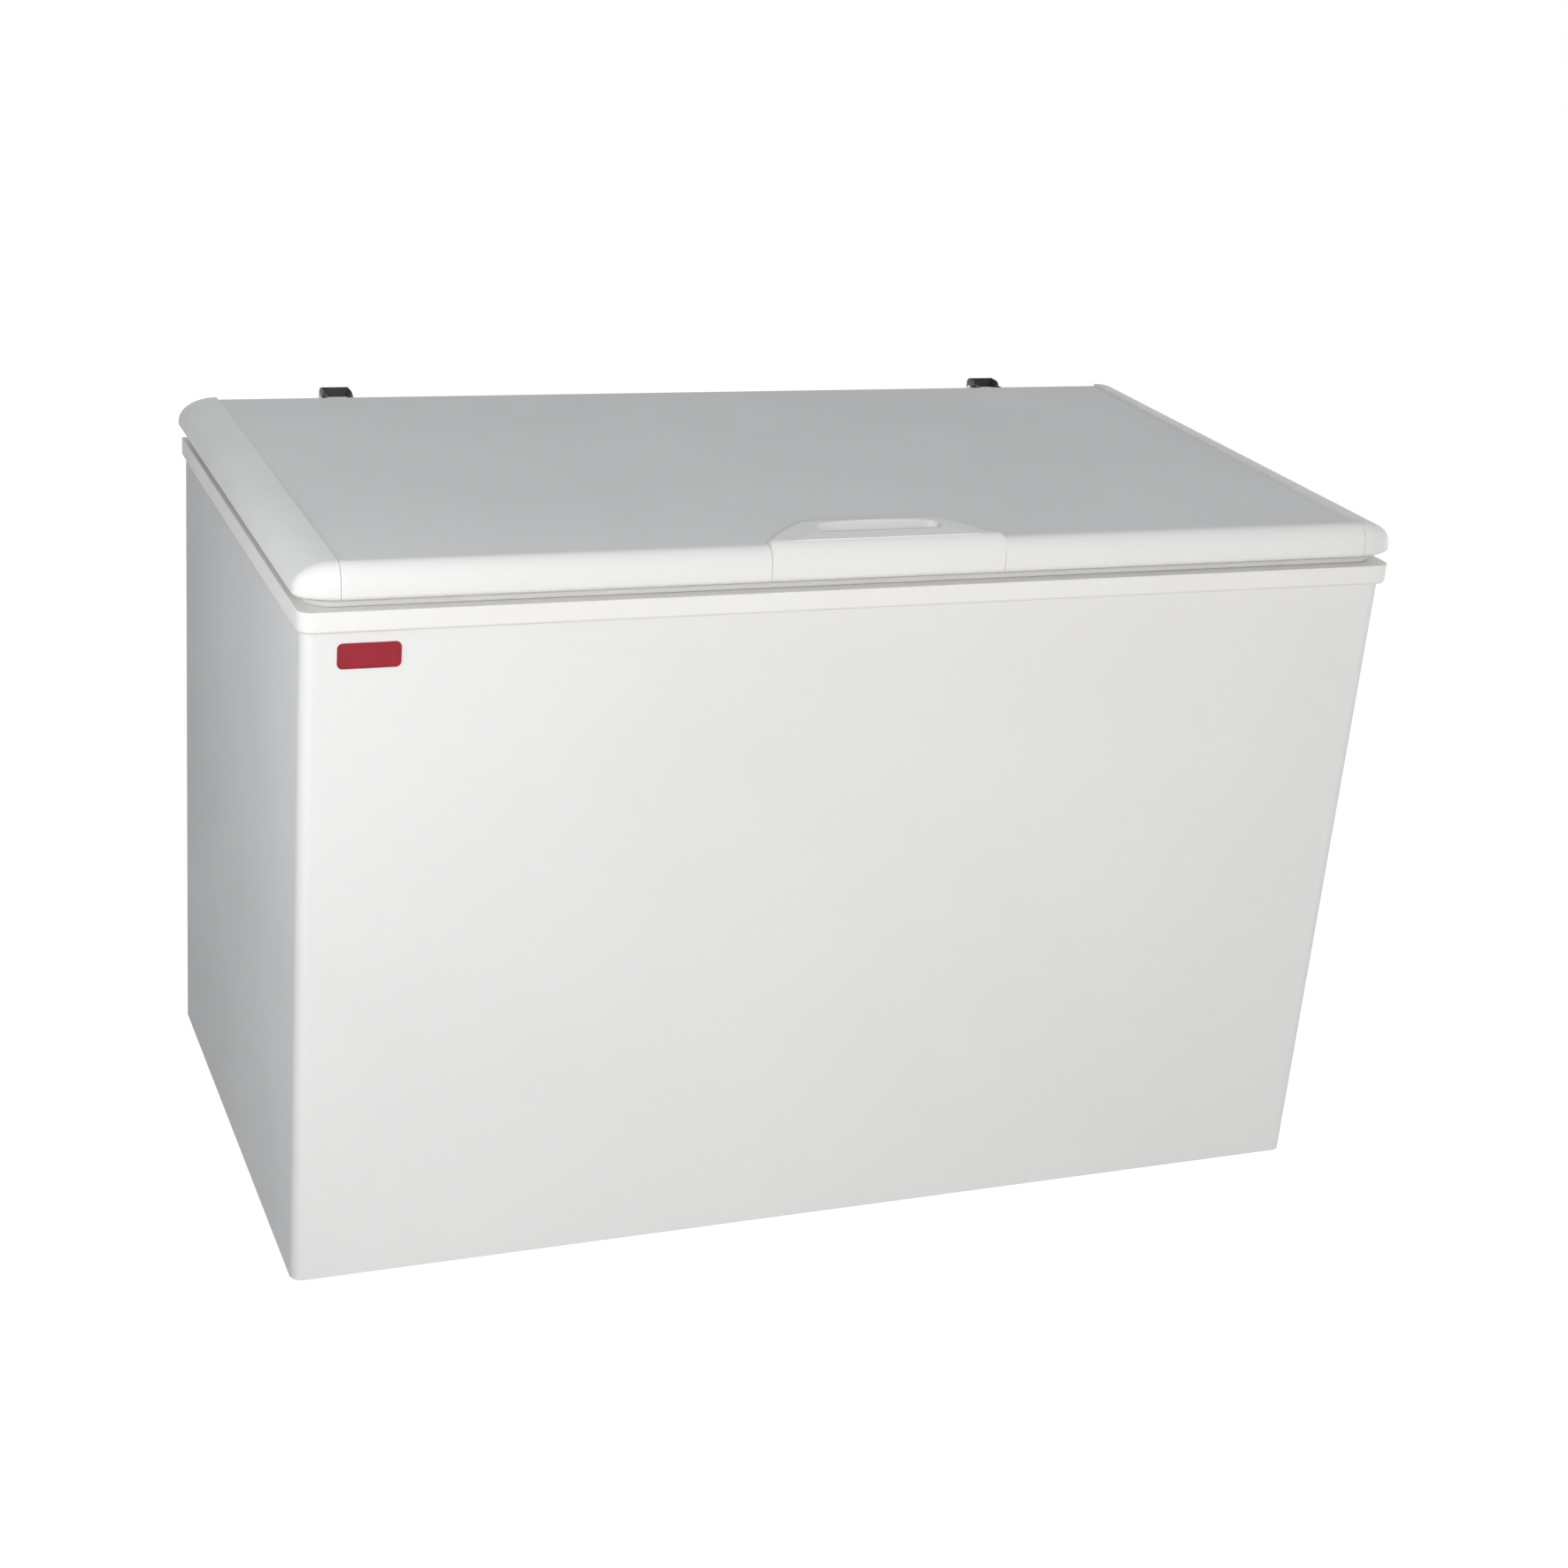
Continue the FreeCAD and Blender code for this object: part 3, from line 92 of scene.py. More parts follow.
# Screws
SCREW_RADIUS = 3.8 * MM
SCREW_HEIGHT = 1.9 * MM
SCREW_RECESS_LENGTH = 4.2 * MM
SCREW_RECESS_WIDTH = 0.9 * MM
SCREW_RECESS_DEPTH = 1.1 * MM
SCREW_SEGMENTS = 20
SCREW_RINGS = 10
SCREW_CUT_SPREAD = 4.0
HINGE_SHEET = 2.0 * MM
HINGE_EAR_MIDDLE = 8.5 * MM
HINGE_EAR_END = 16 * MM
HINGE_EAR_LENGTH = 83 * MM
HINGE_PLATE_END = 7 * MM
COVER_SHEET = 0.8 * MM
COVER_FLANGE_MIDDLE = 7 * MM
GRILLE_SCREW_INSET = 13 * MM
FOOT_RECESS = 8 * MM

# Marks round the thermostat knob
DIAL_RADIUS = 33 * MM
DIAL_MARK_COUNT = 7
DIAL_MARK_LENGTH = 5 * MM
DIAL_MARK_WIDTH = 1.2 * MM
DIAL_MARK_HEIGHT = 0.35 * MM
DIAL_SWEEP = math.radians(270)

SHARP_ANGLE = math.radians(35)
QUARTER_TURN = math.pi / 2

# Noise of the shared effects
DRIFT_DETAIL = 5.0
DRIFT_ROUGHNESS = 0.6
DRIFT_RANGE = (0.3, 0.7)
WAVE_DETAIL = 1.0
GRAIN_DETAIL = 2.0


# Camera and light
def make_camera():
    data = bpy.data.cameras.new("photo_camera")
    data.sensor_width = CAMERA_SENSOR_MM
    data.lens = CAMERA_LENS_MM
    data.shift_x, data.shift_y = CAMERA_SHIFT
    camera = bpy.data.objects.new("photo_camera", data)
    turn = Matrix.Rotation(CAMERA_TURN, 4, "Z")
    tilt = Matrix.Rotation(CAMERA_TILT, 4, "X")
    roll = Matrix.Rotation(CAMERA_ROLL, 4, "Z")
    camera.matrix_world = Matrix.Translation(CAMERA_PLACE) @ turn @ tilt @ roll
    scene.collection.objects.link(camera)
    scene.camera = camera


def make_lamps():
    for name, (place, width, height, watts, colour) in STUDIO_LAMPS.items():
        data = bpy.data.lights.new(name, "AREA")
        data.shape = "RECTANGLE"
        data.size = width
        data.size_y = height
        data.energy = watts
        data.color = colour
        lamp = bpy.data.objects.new(name, data)
        lamp.location = place
        aim = Vector(STUDIO_AIM) - Vector(place)
        lamp.rotation_euler = aim.to_track_quat("-Z", "Y").to_euler()
        scene.collection.objects.link(lamp)


# Node helpers
def add_node(tree, kind, values=None, **settings):
    """Adds a node with its settings, and with values on its unlinked sockets."""
    made = tree.nodes.new(kind)
    for name, value in settings.items():
        setattr(made, name, value)
    for name, value in (values or {}).items():
        made.inputs[name].default_value = value
    return made


def seen_directly(tree):
    """One for rays that show the background: from the camera, mirrored or seen through."""
    path = add_node(tree, "ShaderNodeLightPath")
    first = add_node(tree, "ShaderNodeMath", operation="MAXIMUM")
    both = add_node(tree, "ShaderNodeMath", operation="MAXIMUM")
    tree.links.new(path.outputs["Is Camera Ray"], first.inputs[0])
    tree.links.new(path.outputs["Is Glossy Ray"], first.inputs[1])
    tree.links.new(first.outputs[0], both.inputs[0])
    tree.links.new(path.outputs["Is Transmission Ray"], both.inputs[1])
    return both.outputs[0]


def make_world():
    world = bpy.data.worlds.new("studio_air")
    world.use_nodes = True
    tree = world.node_tree
    tree.nodes.clear()
    way = add_node(tree, "ShaderNodeTexCoord")
    lean = add_node(tree, "ShaderNodeVectorMath", {1: SKY_LEAN}, operation="DOT_PRODUCT")
    level = add_node(tree, "ShaderNodeMath", {1: SKY_BASE}, operation="ADD")
    strength = add_node(tree, "ShaderNodeMath", {1: SKY_STRENGTH}, operation="MULTIPLY")
    sky = add_node(tree, "ShaderNodeBackground", {"Color": SKY_COLOUR})
    white = add_node(tree, "ShaderNodeBackground",
                     {"Color": BACKGROUND_COLOUR, "Strength": BACKGROUND_STRENGTH})
    choice = add_node(tree, "ShaderNodeMixShader")
    out = add_node(tree, "ShaderNodeOutputWorld")
    tree.links.new(way.outputs["Generated"], lean.inputs[0])
    tree.links.new(lean.outputs["Value"], level.inputs[0])
    tree.links.new(level.outputs[0], strength.inputs[0])
    tree.links.new(strength.outputs[0], sky.inputs["Strength"])
    tree.links.new(seen_directly(tree), choice.inputs["Fac"])
    tree.links.new(sky.outputs[0], choice.inputs[1])
    tree.links.new(white.outputs[0], choice.inputs[2])
    tree.links.new(choice.outputs[0], out.inputs["Surface"])
    scene.world = world


def make_floor():
    material = bpy.data.materials.new("studio_floor")
    material.use_nodes = True
    tree = material.node_tree
    tree.nodes.clear()
    matt = add_node(tree, "ShaderNodeBsdfDiffuse", {"Color": FLOOR_COLOUR})
    glow = add_node(tree, "ShaderNodeEmission", {"Color": BACKGROUND_COLOUR})
    strength = add_node(tree, "ShaderNodeMath", {1: FLOOR_GLOW}, operation="MULTIPLY")
    both = add_node(tree, "ShaderNodeAddShader")
    out = add_node(tree, "ShaderNodeOutputMaterial")
    tree.links.new(seen_directly(tree), strength.inputs[0])
    tree.links.new(strength.outputs[0], glow.inputs["Strength"])
    tree.links.new(matt.outputs[0], both.inputs[0])
    tree.links.new(glow.outputs[0], both.inputs[1])
    tree.links.new(both.outputs[0], out.inputs["Surface"])
    mesh = bpy.data.meshes.new("studio_floor")
    half = FLOOR_SIZE / 2
    corners = [(-half, -half, 0), (half, -half, 0), (half, half, 0), (-half, half, 0)]
    mesh.from_pydata(corners, [], [(0, 1, 2, 3)])
    mesh.materials.append(material)
    floor = bpy.data.objects.new("studio_floor", mesh)
    scene.collection.objects.link(floor)


# Effects that several finishes share
def new_effect(name, inputs, outputs):
    """Shader node group with named sockets; returns the tree and its two ends."""
    tree = bpy.data.node_groups.new(name, "ShaderNodeTree")
    for label, kind in inputs:
        tree.interface.new_socket(label, in_out="INPUT", socket_type=kind)
    for label, kind in outputs:
        tree.interface.new_socket(label, in_out="OUTPUT", socket_type=kind)
    return tree, tree.nodes.new("NodeGroupInput"), tree.nodes.new("NodeGroupOutput")


def make_tone_drift():
    """Slow drift of colour and roughness over a surface, as a sprayed or moulded skin has."""
    tree, start, end = new_effect(
        "tone_drift",
        [("Vector", "NodeSocketVector"), ("Patch Scale", "NodeSocketFloat"),
         ("Light", "NodeSocketColor"), ("Dark", "NodeSocketColor"),
         ("Smooth", "NodeSocketFloat"), ("Rough", "NodeSocketFloat")],
        [("Color", "NodeSocketColor"), ("Roughness", "NodeSocketFloat")])
    patches = add_node(tree, "ShaderNodeTexNoise",
                       {"Detail": DRIFT_DETAIL, "Roughness": DRIFT_ROUGHNESS})
    low, high = DRIFT_RANGE
    spread = add_node(tree, "ShaderNodeMapRange", {"From Min": low, "From Max": high})
    tone = add_node(tree, "ShaderNodeMix", data_type="RGBA")
    polish = add_node(tree, "ShaderNodeMapRange")
    link = tree.links.new
    link(start.outputs["Vector"], patches.inputs["Vector"])
    link(start.outputs["Patch Scale"], patches.inputs["Scale"])
    link(patches.outputs["Fac"], spread.inputs["Value"])
    link(spread.outputs["Result"], tone.inputs["Factor"])
    link(start.outputs["Light"], tone.inputs["A"])
    link(start.outputs["Dark"], tone.inputs["B"])
    link(spread.outputs["Result"], polish.inputs["Value"])
    link(start.outputs["Smooth"], polish.inputs["To Min"])
    link(start.outputs["Rough"], polish.inputs["To Max"])
    link(tone.outputs["Result"], end.inputs["Color"])
    link(polish.outputs["Result"], end.inputs["Roughness"])
    return tree


def make_skin_relief():
    """Height of a coated or moulded skin: soft waves with a finer grain on them."""
    tree, start, end = new_effect(
        "skin_relief",
        [("Vector", "NodeSocketVector"), ("Wave Scale", "NodeSocketFloat"),
         ("Grain Scale", "NodeSocketFloat"), ("Grain Share", "NodeSocketFloat")],
        [("Height", "NodeSocketFloat")])
    waves = add_node(tree, "ShaderNodeTexNoise", {"Detail": WAVE_DETAIL})
    grain = add_node(tree, "ShaderNodeTexNoise", {"Detail": GRAIN_DETAIL})
    height = add_node(tree, "ShaderNodeMix", data_type="FLOAT")
    link = tree.links.new
    link(start.outputs["Vector"], waves.inputs["Vector"])
    link(start.outputs["Vector"], grain.inputs["Vector"])
    link(start.outputs["Wave Scale"], waves.inputs["Scale"])
    link(start.outputs["Grain Scale"], grain.inputs["Scale"])
    link(start.outputs["Grain Share"], height.inputs["Factor"])
    link(waves.outputs["Fac"], height.inputs["A"])
    link(grain.outputs["Fac"], height.inputs["B"])
    link(height.outputs["Result"], end.inputs["Height"])
    return tree


def rgb(red, green, blue):
    return (red, green, blue, 1.0)


def new_finish(name, constants):
    """Material with its constants on the shader, and the place on the object as its coordinate."""
    material = bpy.data.materials.new(name)
    material.use_nodes = True
    shader = material.node_tree.nodes["Principled BSDF"]
    for label, value in constants.items():
        shader.inputs[label].default_value = value
    where = add_node(material.node_tree, "ShaderNodeTexCoord")
    return material, material.node_tree, shader, where.outputs["Object"]


def use_drift(tree, shader, where, drift, patch_scale, light, dark, smooth, rough):
    effect = add_node(tree, "ShaderNodeGroup", node_tree=drift)
    for label, value in (("Patch Scale", patch_scale), ("Light", light), ("Dark", dark),
                         ("Smooth", smooth), ("Rough", rough)):
        effect.inputs[label].default_value = value
    tree.links.new(where, effect.inputs["Vector"])
    tree.links.new(effect.outputs["Color"], shader.inputs["Base Color"])
    tree.links.new(effect.outputs["Roughness"], shader.inputs["Roughness"])


def use_bump(tree, shader, height, strength, distance):
    bump = add_node(tree, "ShaderNodeBump", {"Strength": strength, "Distance": distance})
    tree.links.new(height, bump.inputs["Height"])
    tree.links.new(bump.outputs["Normal"], shader.inputs["Normal"])


def use_relief(tree, shader, where, relief,
               wave_scale, grain_scale, grain_share, strength, distance):
    effect = add_node(tree, "ShaderNodeGroup", node_tree=relief)
    for label, value in (("Wave Scale", wave_scale), ("Grain Scale", grain_scale),
                         ("Grain Share", grain_share)):
        effect.inputs[label].default_value = value
    tree.links.new(where, effect.inputs["Vector"])
    use_bump(tree, shader, effect.outputs["Height"], strength, distance)


# Coated, moulded and plain metal skins.
# name: constants,
#       drift (patch scale, light, dark, smooth, rough),
#       relief (wave scale, grain scale, grain share, strength, distance)
SKINS = {
    "white_paint": ({"Specular IOR Level": 0.08},
                    (3.0, rgb(0.850, 0.850, 0.846), rgb(0.826, 0.826, 0.822), 0.48, 0.58),
                    (260.0, 1500.0, 0.35, 0.10, 0.4 * MM)),
    "grey_paint": ({"Specular IOR Level": 0.2},
                   (3.5, rgb(0.842, 0.838, 0.830), rgb(0.822, 0.818, 0.810), 0.50, 0.60),
                   (300.0, 1500.0, 0.4, 0.10, 0.4 * MM)),
    "white_moulding": ({"Specular IOR Level": 0.2},
                       (9.0, rgb(0.855, 0.855, 0.842), rgb(0.830, 0.829, 0.814), 0.34, 0.44),
                       (140.0, 2200.0, 0.6, 0.08, 0.3 * MM)),
    "frame_moulding": ({"Specular IOR Level": 0.3},
                       (9.0, rgb(0.885, 0.878, 0.850), rgb(0.860, 0.853, 0.825), 0.36, 0.46),
                       (140.0, 2200.0, 0.6, 0.08, 0.3 * MM)),
    "inner_plastic": ({"Coat Weight": 0.1},
                      (7.0, rgb(0.840, 0.842, 0.838), rgb(0.815, 0.817, 0.813), 0.30, 0.42),
                      (60.0, 1200.0, 0.3, 0.12, 0.5 * MM)),
    "seal_rubber": ({"Sheen Weight": 0.08},
                    (20.0, rgb(0.640, 0.628, 0.620), rgb(0.590, 0.578, 0.570), 0.62, 0.78),
                    (400.0, 3000.0, 0.6, 0.12, 0.2 * MM)),
    "black_paint": ({"Coat Weight": 0.2},
                    (14.0, rgb(0.018, 0.018, 0.020), rgb(0.034, 0.034, 0.036), 0.28, 0.48),
                    (220.0, 1500.0, 0.4, 0.20, 0.4 * MM)),
    "dark_hinge": ({},
                   (40.0, rgb(0.030, 0.030, 0.033), rgb(0.062, 0.060, 0.060), 0.36, 0.58),
                   (500.0, 2500.0, 0.5, 0.16, 0.3 * MM)),
    "black_plastic": ({},
                      (25.0, rgb(0.022, 0.022, 0.024), rgb(0.036, 0.036, 0.038), 0.46, 0.60),
                      (600.0, 2600.0, 0.7, 0.25, 0.3 * MM)),
    "grey_plastic": ({},
                     (12.0, rgb(0.640, 0.642, 0.640), rgb(0.600, 0.602, 0.600), 0.42, 0.54),
                     (500.0, 2400.0, 0.7, 0.18, 0.3 * MM)),
    "black_rubber": ({"Sheen Weight": 0.1},
                     (30.0, rgb(0.020, 0.020, 0.020), rgb(0.040, 0.039, 0.038), 0.66, 0.82),
                     (500.0, 2600.0, 0.6, 0.25, 0.3 * MM)),
    "coated_wire": ({"Coat Weight": 0.2},
                    (25.0, rgb(0.830, 0.832, 0.830), rgb(0.790, 0.792, 0.790), 0.26, 0.38),
                    (300.0, 1800.0, 0.4, 0.10, 0.3 * MM)),
    "badge_enamel": ({"Specular IOR Level": 0.25},
                     (40.0, rgb(0.320, 0.016, 0.030), rgb(0.270, 0.013, 0.025), 0.34, 0.44),
                     (500.0, 2600.0, 0.4, 0.08, 0.2 * MM)),
    "copper": ({"Metallic": 1.0},
               (28.0, rgb(0.80, 0.42, 0.27), rgb(0.46, 0.22, 0.13), 0.24, 0.46),
               (300.0, 2400.0, 0.5, 0.15, 0.2 * MM)),
    "pin_steel": ({"Metallic": 1.0},
                  (90.0, rgb(0.62, 0.62, 0.61), rgb(0.50, 0.50, 0.49), 0.24, 0.42),
                  (600.0, 3000.0, 0.5, 0.12, 0.2 * MM)),
}

# Galvanised sheet
ZINC_METALLIC = 0.8
ZINC_WARP = {"Scale": 60.0, "Detail": 2.0}
ZINC_WARP_SHARE = 0.02
ZINC_CRYSTAL_SCALE = 110.0
ZINC_TONE = (0.50, 0.58)
ZINC_ROUGHNESS = (0.42, 0.52)
ZINC_BUMP = (0.06, 0.4 * MM)

# Pebbled liner sheet
LINER_METALLIC = 0.7
LINER_DRIFT = (5.0, rgb(0.80, 0.81, 0.82), rgb(0.74, 0.75, 0.76), 0.32, 0.42)
LINER_PEBBLES = {"Scale": 130.0, "Smoothness": 0.6}
LINER_BUMP = (0.5, 1.2 * MM)

# Rigid foam
FOAM_DRIFT = (16.0, rgb(0.72, 0.60, 0.33), rgb(0.60, 0.48, 0.24), 0.8, 0.95)
FOAM_CELL_SCALE = 900.0
FOAM_BUMP = (0.5, 0.6 * MM)


def make_skins(drift, relief):
    made = {}
    for name, (constants, drift_values, relief_values) in SKINS.items():
        material, tree, shader, where = new_finish(name, constants)
        use_drift(tree, shader, where, drift, *drift_values)
        use_relief(tree, shader, where, relief, *relief_values)
        made[name] = material
    return made


def make_zinc_sheet():
    """Galvanised sheet: crystals that differ in tone, with soft edges between them."""
    material, tree, shader, where = new_finish("zinc_sheet", {"Metallic": ZINC_METALLIC})
    dark, light = ZINC_TONE
    smooth, rough = ZINC_ROUGHNESS
    warp = add_node(tree, "ShaderNodeTexNoise", ZINC_WARP)
    bend = add_node(tree, "ShaderNodeMix", {"Factor": ZINC_WARP_SHARE},
                    data_type="RGBA", blend_type="ADD")
    crystals = add_node(tree, "ShaderNodeTexVoronoi", {"Scale": ZINC_CRYSTAL_SCALE})
    tone = add_node(tree, "ShaderNodeMapRange", {"To Min": dark, "To Max": light})
    polish = add_node(tree, "ShaderNodeMapRange", {"To Min": smooth, "To Max": rough})
    split = add_node(tree, "ShaderNodeSeparateColor")
    colour = add_node(tree, "ShaderNodeCombineColor")
    link = tree.links.new
    link(where, warp.inputs["Vector"])
    link(where, bend.inputs["A"])
    link(warp.outputs["Color"], bend.inputs["B"])
    link(bend.outputs["Result"], crystals.inputs["Vector"])
    link(crystals.outputs["Color"], split.inputs["Color"])
    link(split.outputs["Red"], tone.inputs["Value"])
    link(split.outputs["Green"], polish.inputs["Value"])
    for channel in ("Red", "Green", "Blue"):
        link(tone.outputs["Result"], colour.inputs[channel])
    link(colour.outputs["Color"], shader.inputs["Base Color"])
    link(polish.outputs["Result"], shader.inputs["Roughness"])
    use_bump(tree, shader, crystals.outputs["Distance"], *ZINC_BUMP)
    return material


def make_liner_sheet(drift):
    """Aluminium sheet rolled with a pebble pattern."""
    material, tree, shader, where = new_finish("liner_sheet", {"Metallic": LINER_METALLIC})
    use_drift(tree, shader, where, drift, *LINER_DRIFT)
    pebbles = add_node(tree, "ShaderNodeTexVoronoi", LINER_PEBBLES, feature="SMOOTH_F1")
    tree.links.new(where, pebbles.inputs["Vector"])
    use_bump(tree, shader, pebbles.outputs["Distance"], *LINER_BUMP)
    return material


def make_foam(drift):
    """Rigid foam with small open cells where it is cut."""
    material, tree, shader, where = new_finish("foam", {})
    use_drift(tree, shader, where, drift, *FOAM_DRIFT)
    cells = add_node(tree, "ShaderNodeTexVoronoi", {"Scale": FOAM_CELL_SCALE})
    tree.links.new(where, cells.inputs["Vector"])
    use_bump(tree, shader, cells.outputs["Distance"], *FOAM_BUMP)
    return material


def make_finishes():
    drift = make_tone_drift()
    relief = make_skin_relief()
    made = make_skins(drift, relief)
    made["zinc_sheet"] = make_zinc_sheet()
    made["liner_sheet"] = make_liner_sheet(drift)
    made["foam"] = make_foam(drift)
    return made


def dress_nodes(finishes):
    for subpart in frame["record"]["subparts"]:
        node = frame["nodes"][subpart["node"]]
        node.data.materials.clear()
        node.data.materials.append(finishes[subpart["material_slot"]])


# Small fittings
def add_piece(name, mesh, body):
    """Puts a finished mesh into the scene on a body."""
    mesh.shade_smooth()
    mesh.set_sharp_from_angle(angle=SHARP_ANGLE)
    piece = bpy.data.objects.new(name, mesh)
    scene.collection.objects.link(piece)
    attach(piece, body)


def rounded_outline(width, height, corner, steps):
    """Points round a rectangle with rounded corners, about its middle."""
    points = []
    for quarter, (side_x, side_z) in enumerate(((1, 1), (-1, 1), (-1, -1), (1, -1))):
        middle_x = side_x * (width / 2 - corner)
        middle_z = side_z * (height / 2 - corner)
        for step in range(steps + 1):
            turn = (quarter + step / steps) * QUARTER_TURN
            points.append((middle_x + corner * math.cos(turn), middle_z + corner * math.sin(turn)))
    return points


def make_badge(finish):
    """Plain enamelled plate with a fine raised rim."""
    face_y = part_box("outer_wrapper")[0].y
    middle = Vector((BADGE_LEFT + BADGE_WIDTH / 2, face_y, BADGE_LOW + BADGE_HEIGHT / 2))
    shape = bmesh.new()
    outline = rounded_outline(BADGE_WIDTH, BADGE_HEIGHT, BADGE_CORNER, BADGE_CORNER_STEPS)
    ring = [shape.verts.new((middle.x + x, middle.y, middle.z + z)) for x, z in outline]
    plate = shape.faces.new(ring)
    raised = bmesh.ops.extrude_face_region(shape, geom=[plate])["geom"]
    moved = [part for part in raised if isinstance(part, bmesh.types.BMVert)]
    front = next(part for part in raised if isinstance(part, bmesh.types.BMFace))
    bmesh.ops.translate(shape, verts=moved, vec=(0, -BADGE_THICKNESS, 0))
    bmesh.ops.bevel(shape, geom=list(front.edges), offset=BADGE_EDGE, segments=BADGE_EDGE_STEPS,
                    affect="EDGES", profile=BADGE_EDGE_PROFILE)
    front = min(shape.faces, key=lambda face: (face.calc_center_median().y, -face.calc_area()))
    bmesh.ops.inset_region(shape, faces=[front], thickness=BADGE_RIM, use_even_offset=True)
    bmesh.ops.inset_region(shape, faces=[front], thickness=BADGE_EDGE, depth=-BADGE_RIM_DEPTH,
                           use_even_offset=True)
    bmesh.ops.recalc_face_normals(shape, faces=shape.faces)
    mesh = bpy.data.meshes.new("badge_plate")
    shape.to_mesh(mesh)
    shape.free()
    mesh.materials.append(finish)
    add_piece("badge_plate", mesh, "cabinet")


def new_geometry_tree(name, inputs):
    """Geometry tree with named inputs; returns the tree, its start and its end."""
    tree = bpy.data.node_groups.new(name, "GeometryNodeTree")
    tree.interface.new_socket("Geometry", in_out="INPUT", socket_type="NodeSocketGeometry")
    for label, kind in inputs:
        tree.interface.new_socket(label, in_out="INPUT", socket_type=kind)
    tree.interface.new_socket("Geometry", in_out="OUTPUT", socket_type="NodeSocketGeometry")
    return tree, tree.nodes.new("NodeGroupInput"), tree.nodes.new("NodeGroupOutput")


def make_screw_tree():
    """Sets a domed head with a cross recess on every point, along the point's facing."""
    sizes = ("Head Radius", "Head Height", "Recess Length", "Recess Width", "Recess Depth")
    tree, start, end = new_geometry_tree(
        "screw_heads",
        [(label, "NodeSocketFloat") for label in sizes] + [("Finish", "NodeSocketMaterial")])
    link = tree.links.new

    def scaled(socket, factor):
        made = add_node(tree, "ShaderNodeMath", {1: factor}, operation="MULTIPLY")
        link(socket, made.inputs[0])
        return made.outputs[0]

    def sized(x, y, z):
        made = add_node(tree, "ShaderNodeCombineXYZ")
        for socket, label in ((x, "X"), (y, "Y"), (z, "Z")):
            if socket is not None:
                link(socket, made.inputs[label])
        return made.outputs[0]

    def cutter(size, middle):
        block = add_node(tree, "GeometryNodeMeshCube")
        move = add_node(tree, "GeometryNodeTransform")
        link(size, block.inputs["Size"])
        link(block.outputs["Mesh"], move.inputs["Geometry"])
        link(middle, move.inputs["Translation"])
        return move.outputs["Geometry"]

    radius = start.outputs["Head Radius"]
    height = start.outputs["Head Height"]
    length = start.outputs["Recess Length"]
    width = start.outputs["Recess Width"]
    depth = scaled(start.outputs["Recess Depth"], 2.0)
    ball = add_node(tree, "GeometryNodeMeshUVSphere",
                    {"Segments": SCREW_SEGMENTS, "Rings": SCREW_RINGS, "Radius": 1.0})
    dome = add_node(tree, "GeometryNodeTransform")
    link(ball.outputs["Mesh"], dome.inputs["Geometry"])
    link(sized(radius, radius, height), dome.inputs["Scale"])
    wide = scaled(radius, SCREW_CUT_SPREAD)
    tall = scaled(height, 2.0)
    head = add_node(tree, "GeometryNodeMeshBoolean", operation="DIFFERENCE")
    link(dome.outputs["Geometry"], head.inputs["Mesh 1"])
    top = sized(None, None, height)
    for cut in (cutter(sized(length, width, depth), top), cutter(sized(width, length, depth), top),
                cutter(sized(wide, wide, tall), sized(None, None, scaled(height, -1.0)))):
        link(cut, head.inputs["Mesh 2"])
    facing = add_node(tree, "GeometryNodeInputNamedAttribute", {"Name": "facing"},
                      data_type="FLOAT_VECTOR")
    turn = add_node(tree, "FunctionNodeAlignRotationToVector", axis="Z")
    link(facing.outputs["Attribute"], turn.inputs["Vector"])
    place = add_node(tree, "GeometryNodeInstanceOnPoints")
    link(start.outputs["Geometry"], place.inputs["Points"])
    link(head.outputs["Mesh"], place.inputs["Instance"])
    link(turn.outputs["Rotation"], place.inputs["Rotation"])
    real = add_node(tree, "GeometryNodeRealizeInstances")
    coat = add_node(tree, "GeometryNodeSetMaterial")
    link(place.outputs["Instances"], real.inputs["Geometry"])
    link(real.outputs["Geometry"], coat.inputs["Geometry"])
    link(start.outputs["Finish"], coat.inputs["Material"])
    link(coat.outputs["Geometry"], end.inputs["Geometry"])
    return tree


def grown_mesh(name, mesh, tree, values):
    """Plain mesh that a geometry tree makes from a mesh, with the tree's inputs set by name."""
    seed = bpy.data.objects.new(name + "_seed", mesh)
    scene.collection.objects.link(seed)
    modifier = seed.modifiers.new("grow", "NODES")
    modifier.node_group = tree
    for item in tree.interface.items_tree:
        if item.in_out == "INPUT" and item.name in values:
            modifier[item.identifier] = values[item.name]
    graph = bpy.context.evaluated_depsgraph_get()
    made = bpy.data.meshes.new_from_object(seed.evaluated_get(graph))
    made.name = name
    seed.modifiers.remove(modifier)
    bpy.data.objects.remove(seed)
    return made


def facing_points(name, places):
    """Mesh of loose points that each hold the way they face."""
    mesh = bpy.data.meshes.new(name)
    mesh.from_pydata([place for place, facing in places], [], [])
    attribute = mesh.attributes.new("facing", "FLOAT_VECTOR", "POINT")
    for entry, (place, facing) in zip(attribute.data, places):
        entry.vector = facing
    return mesh


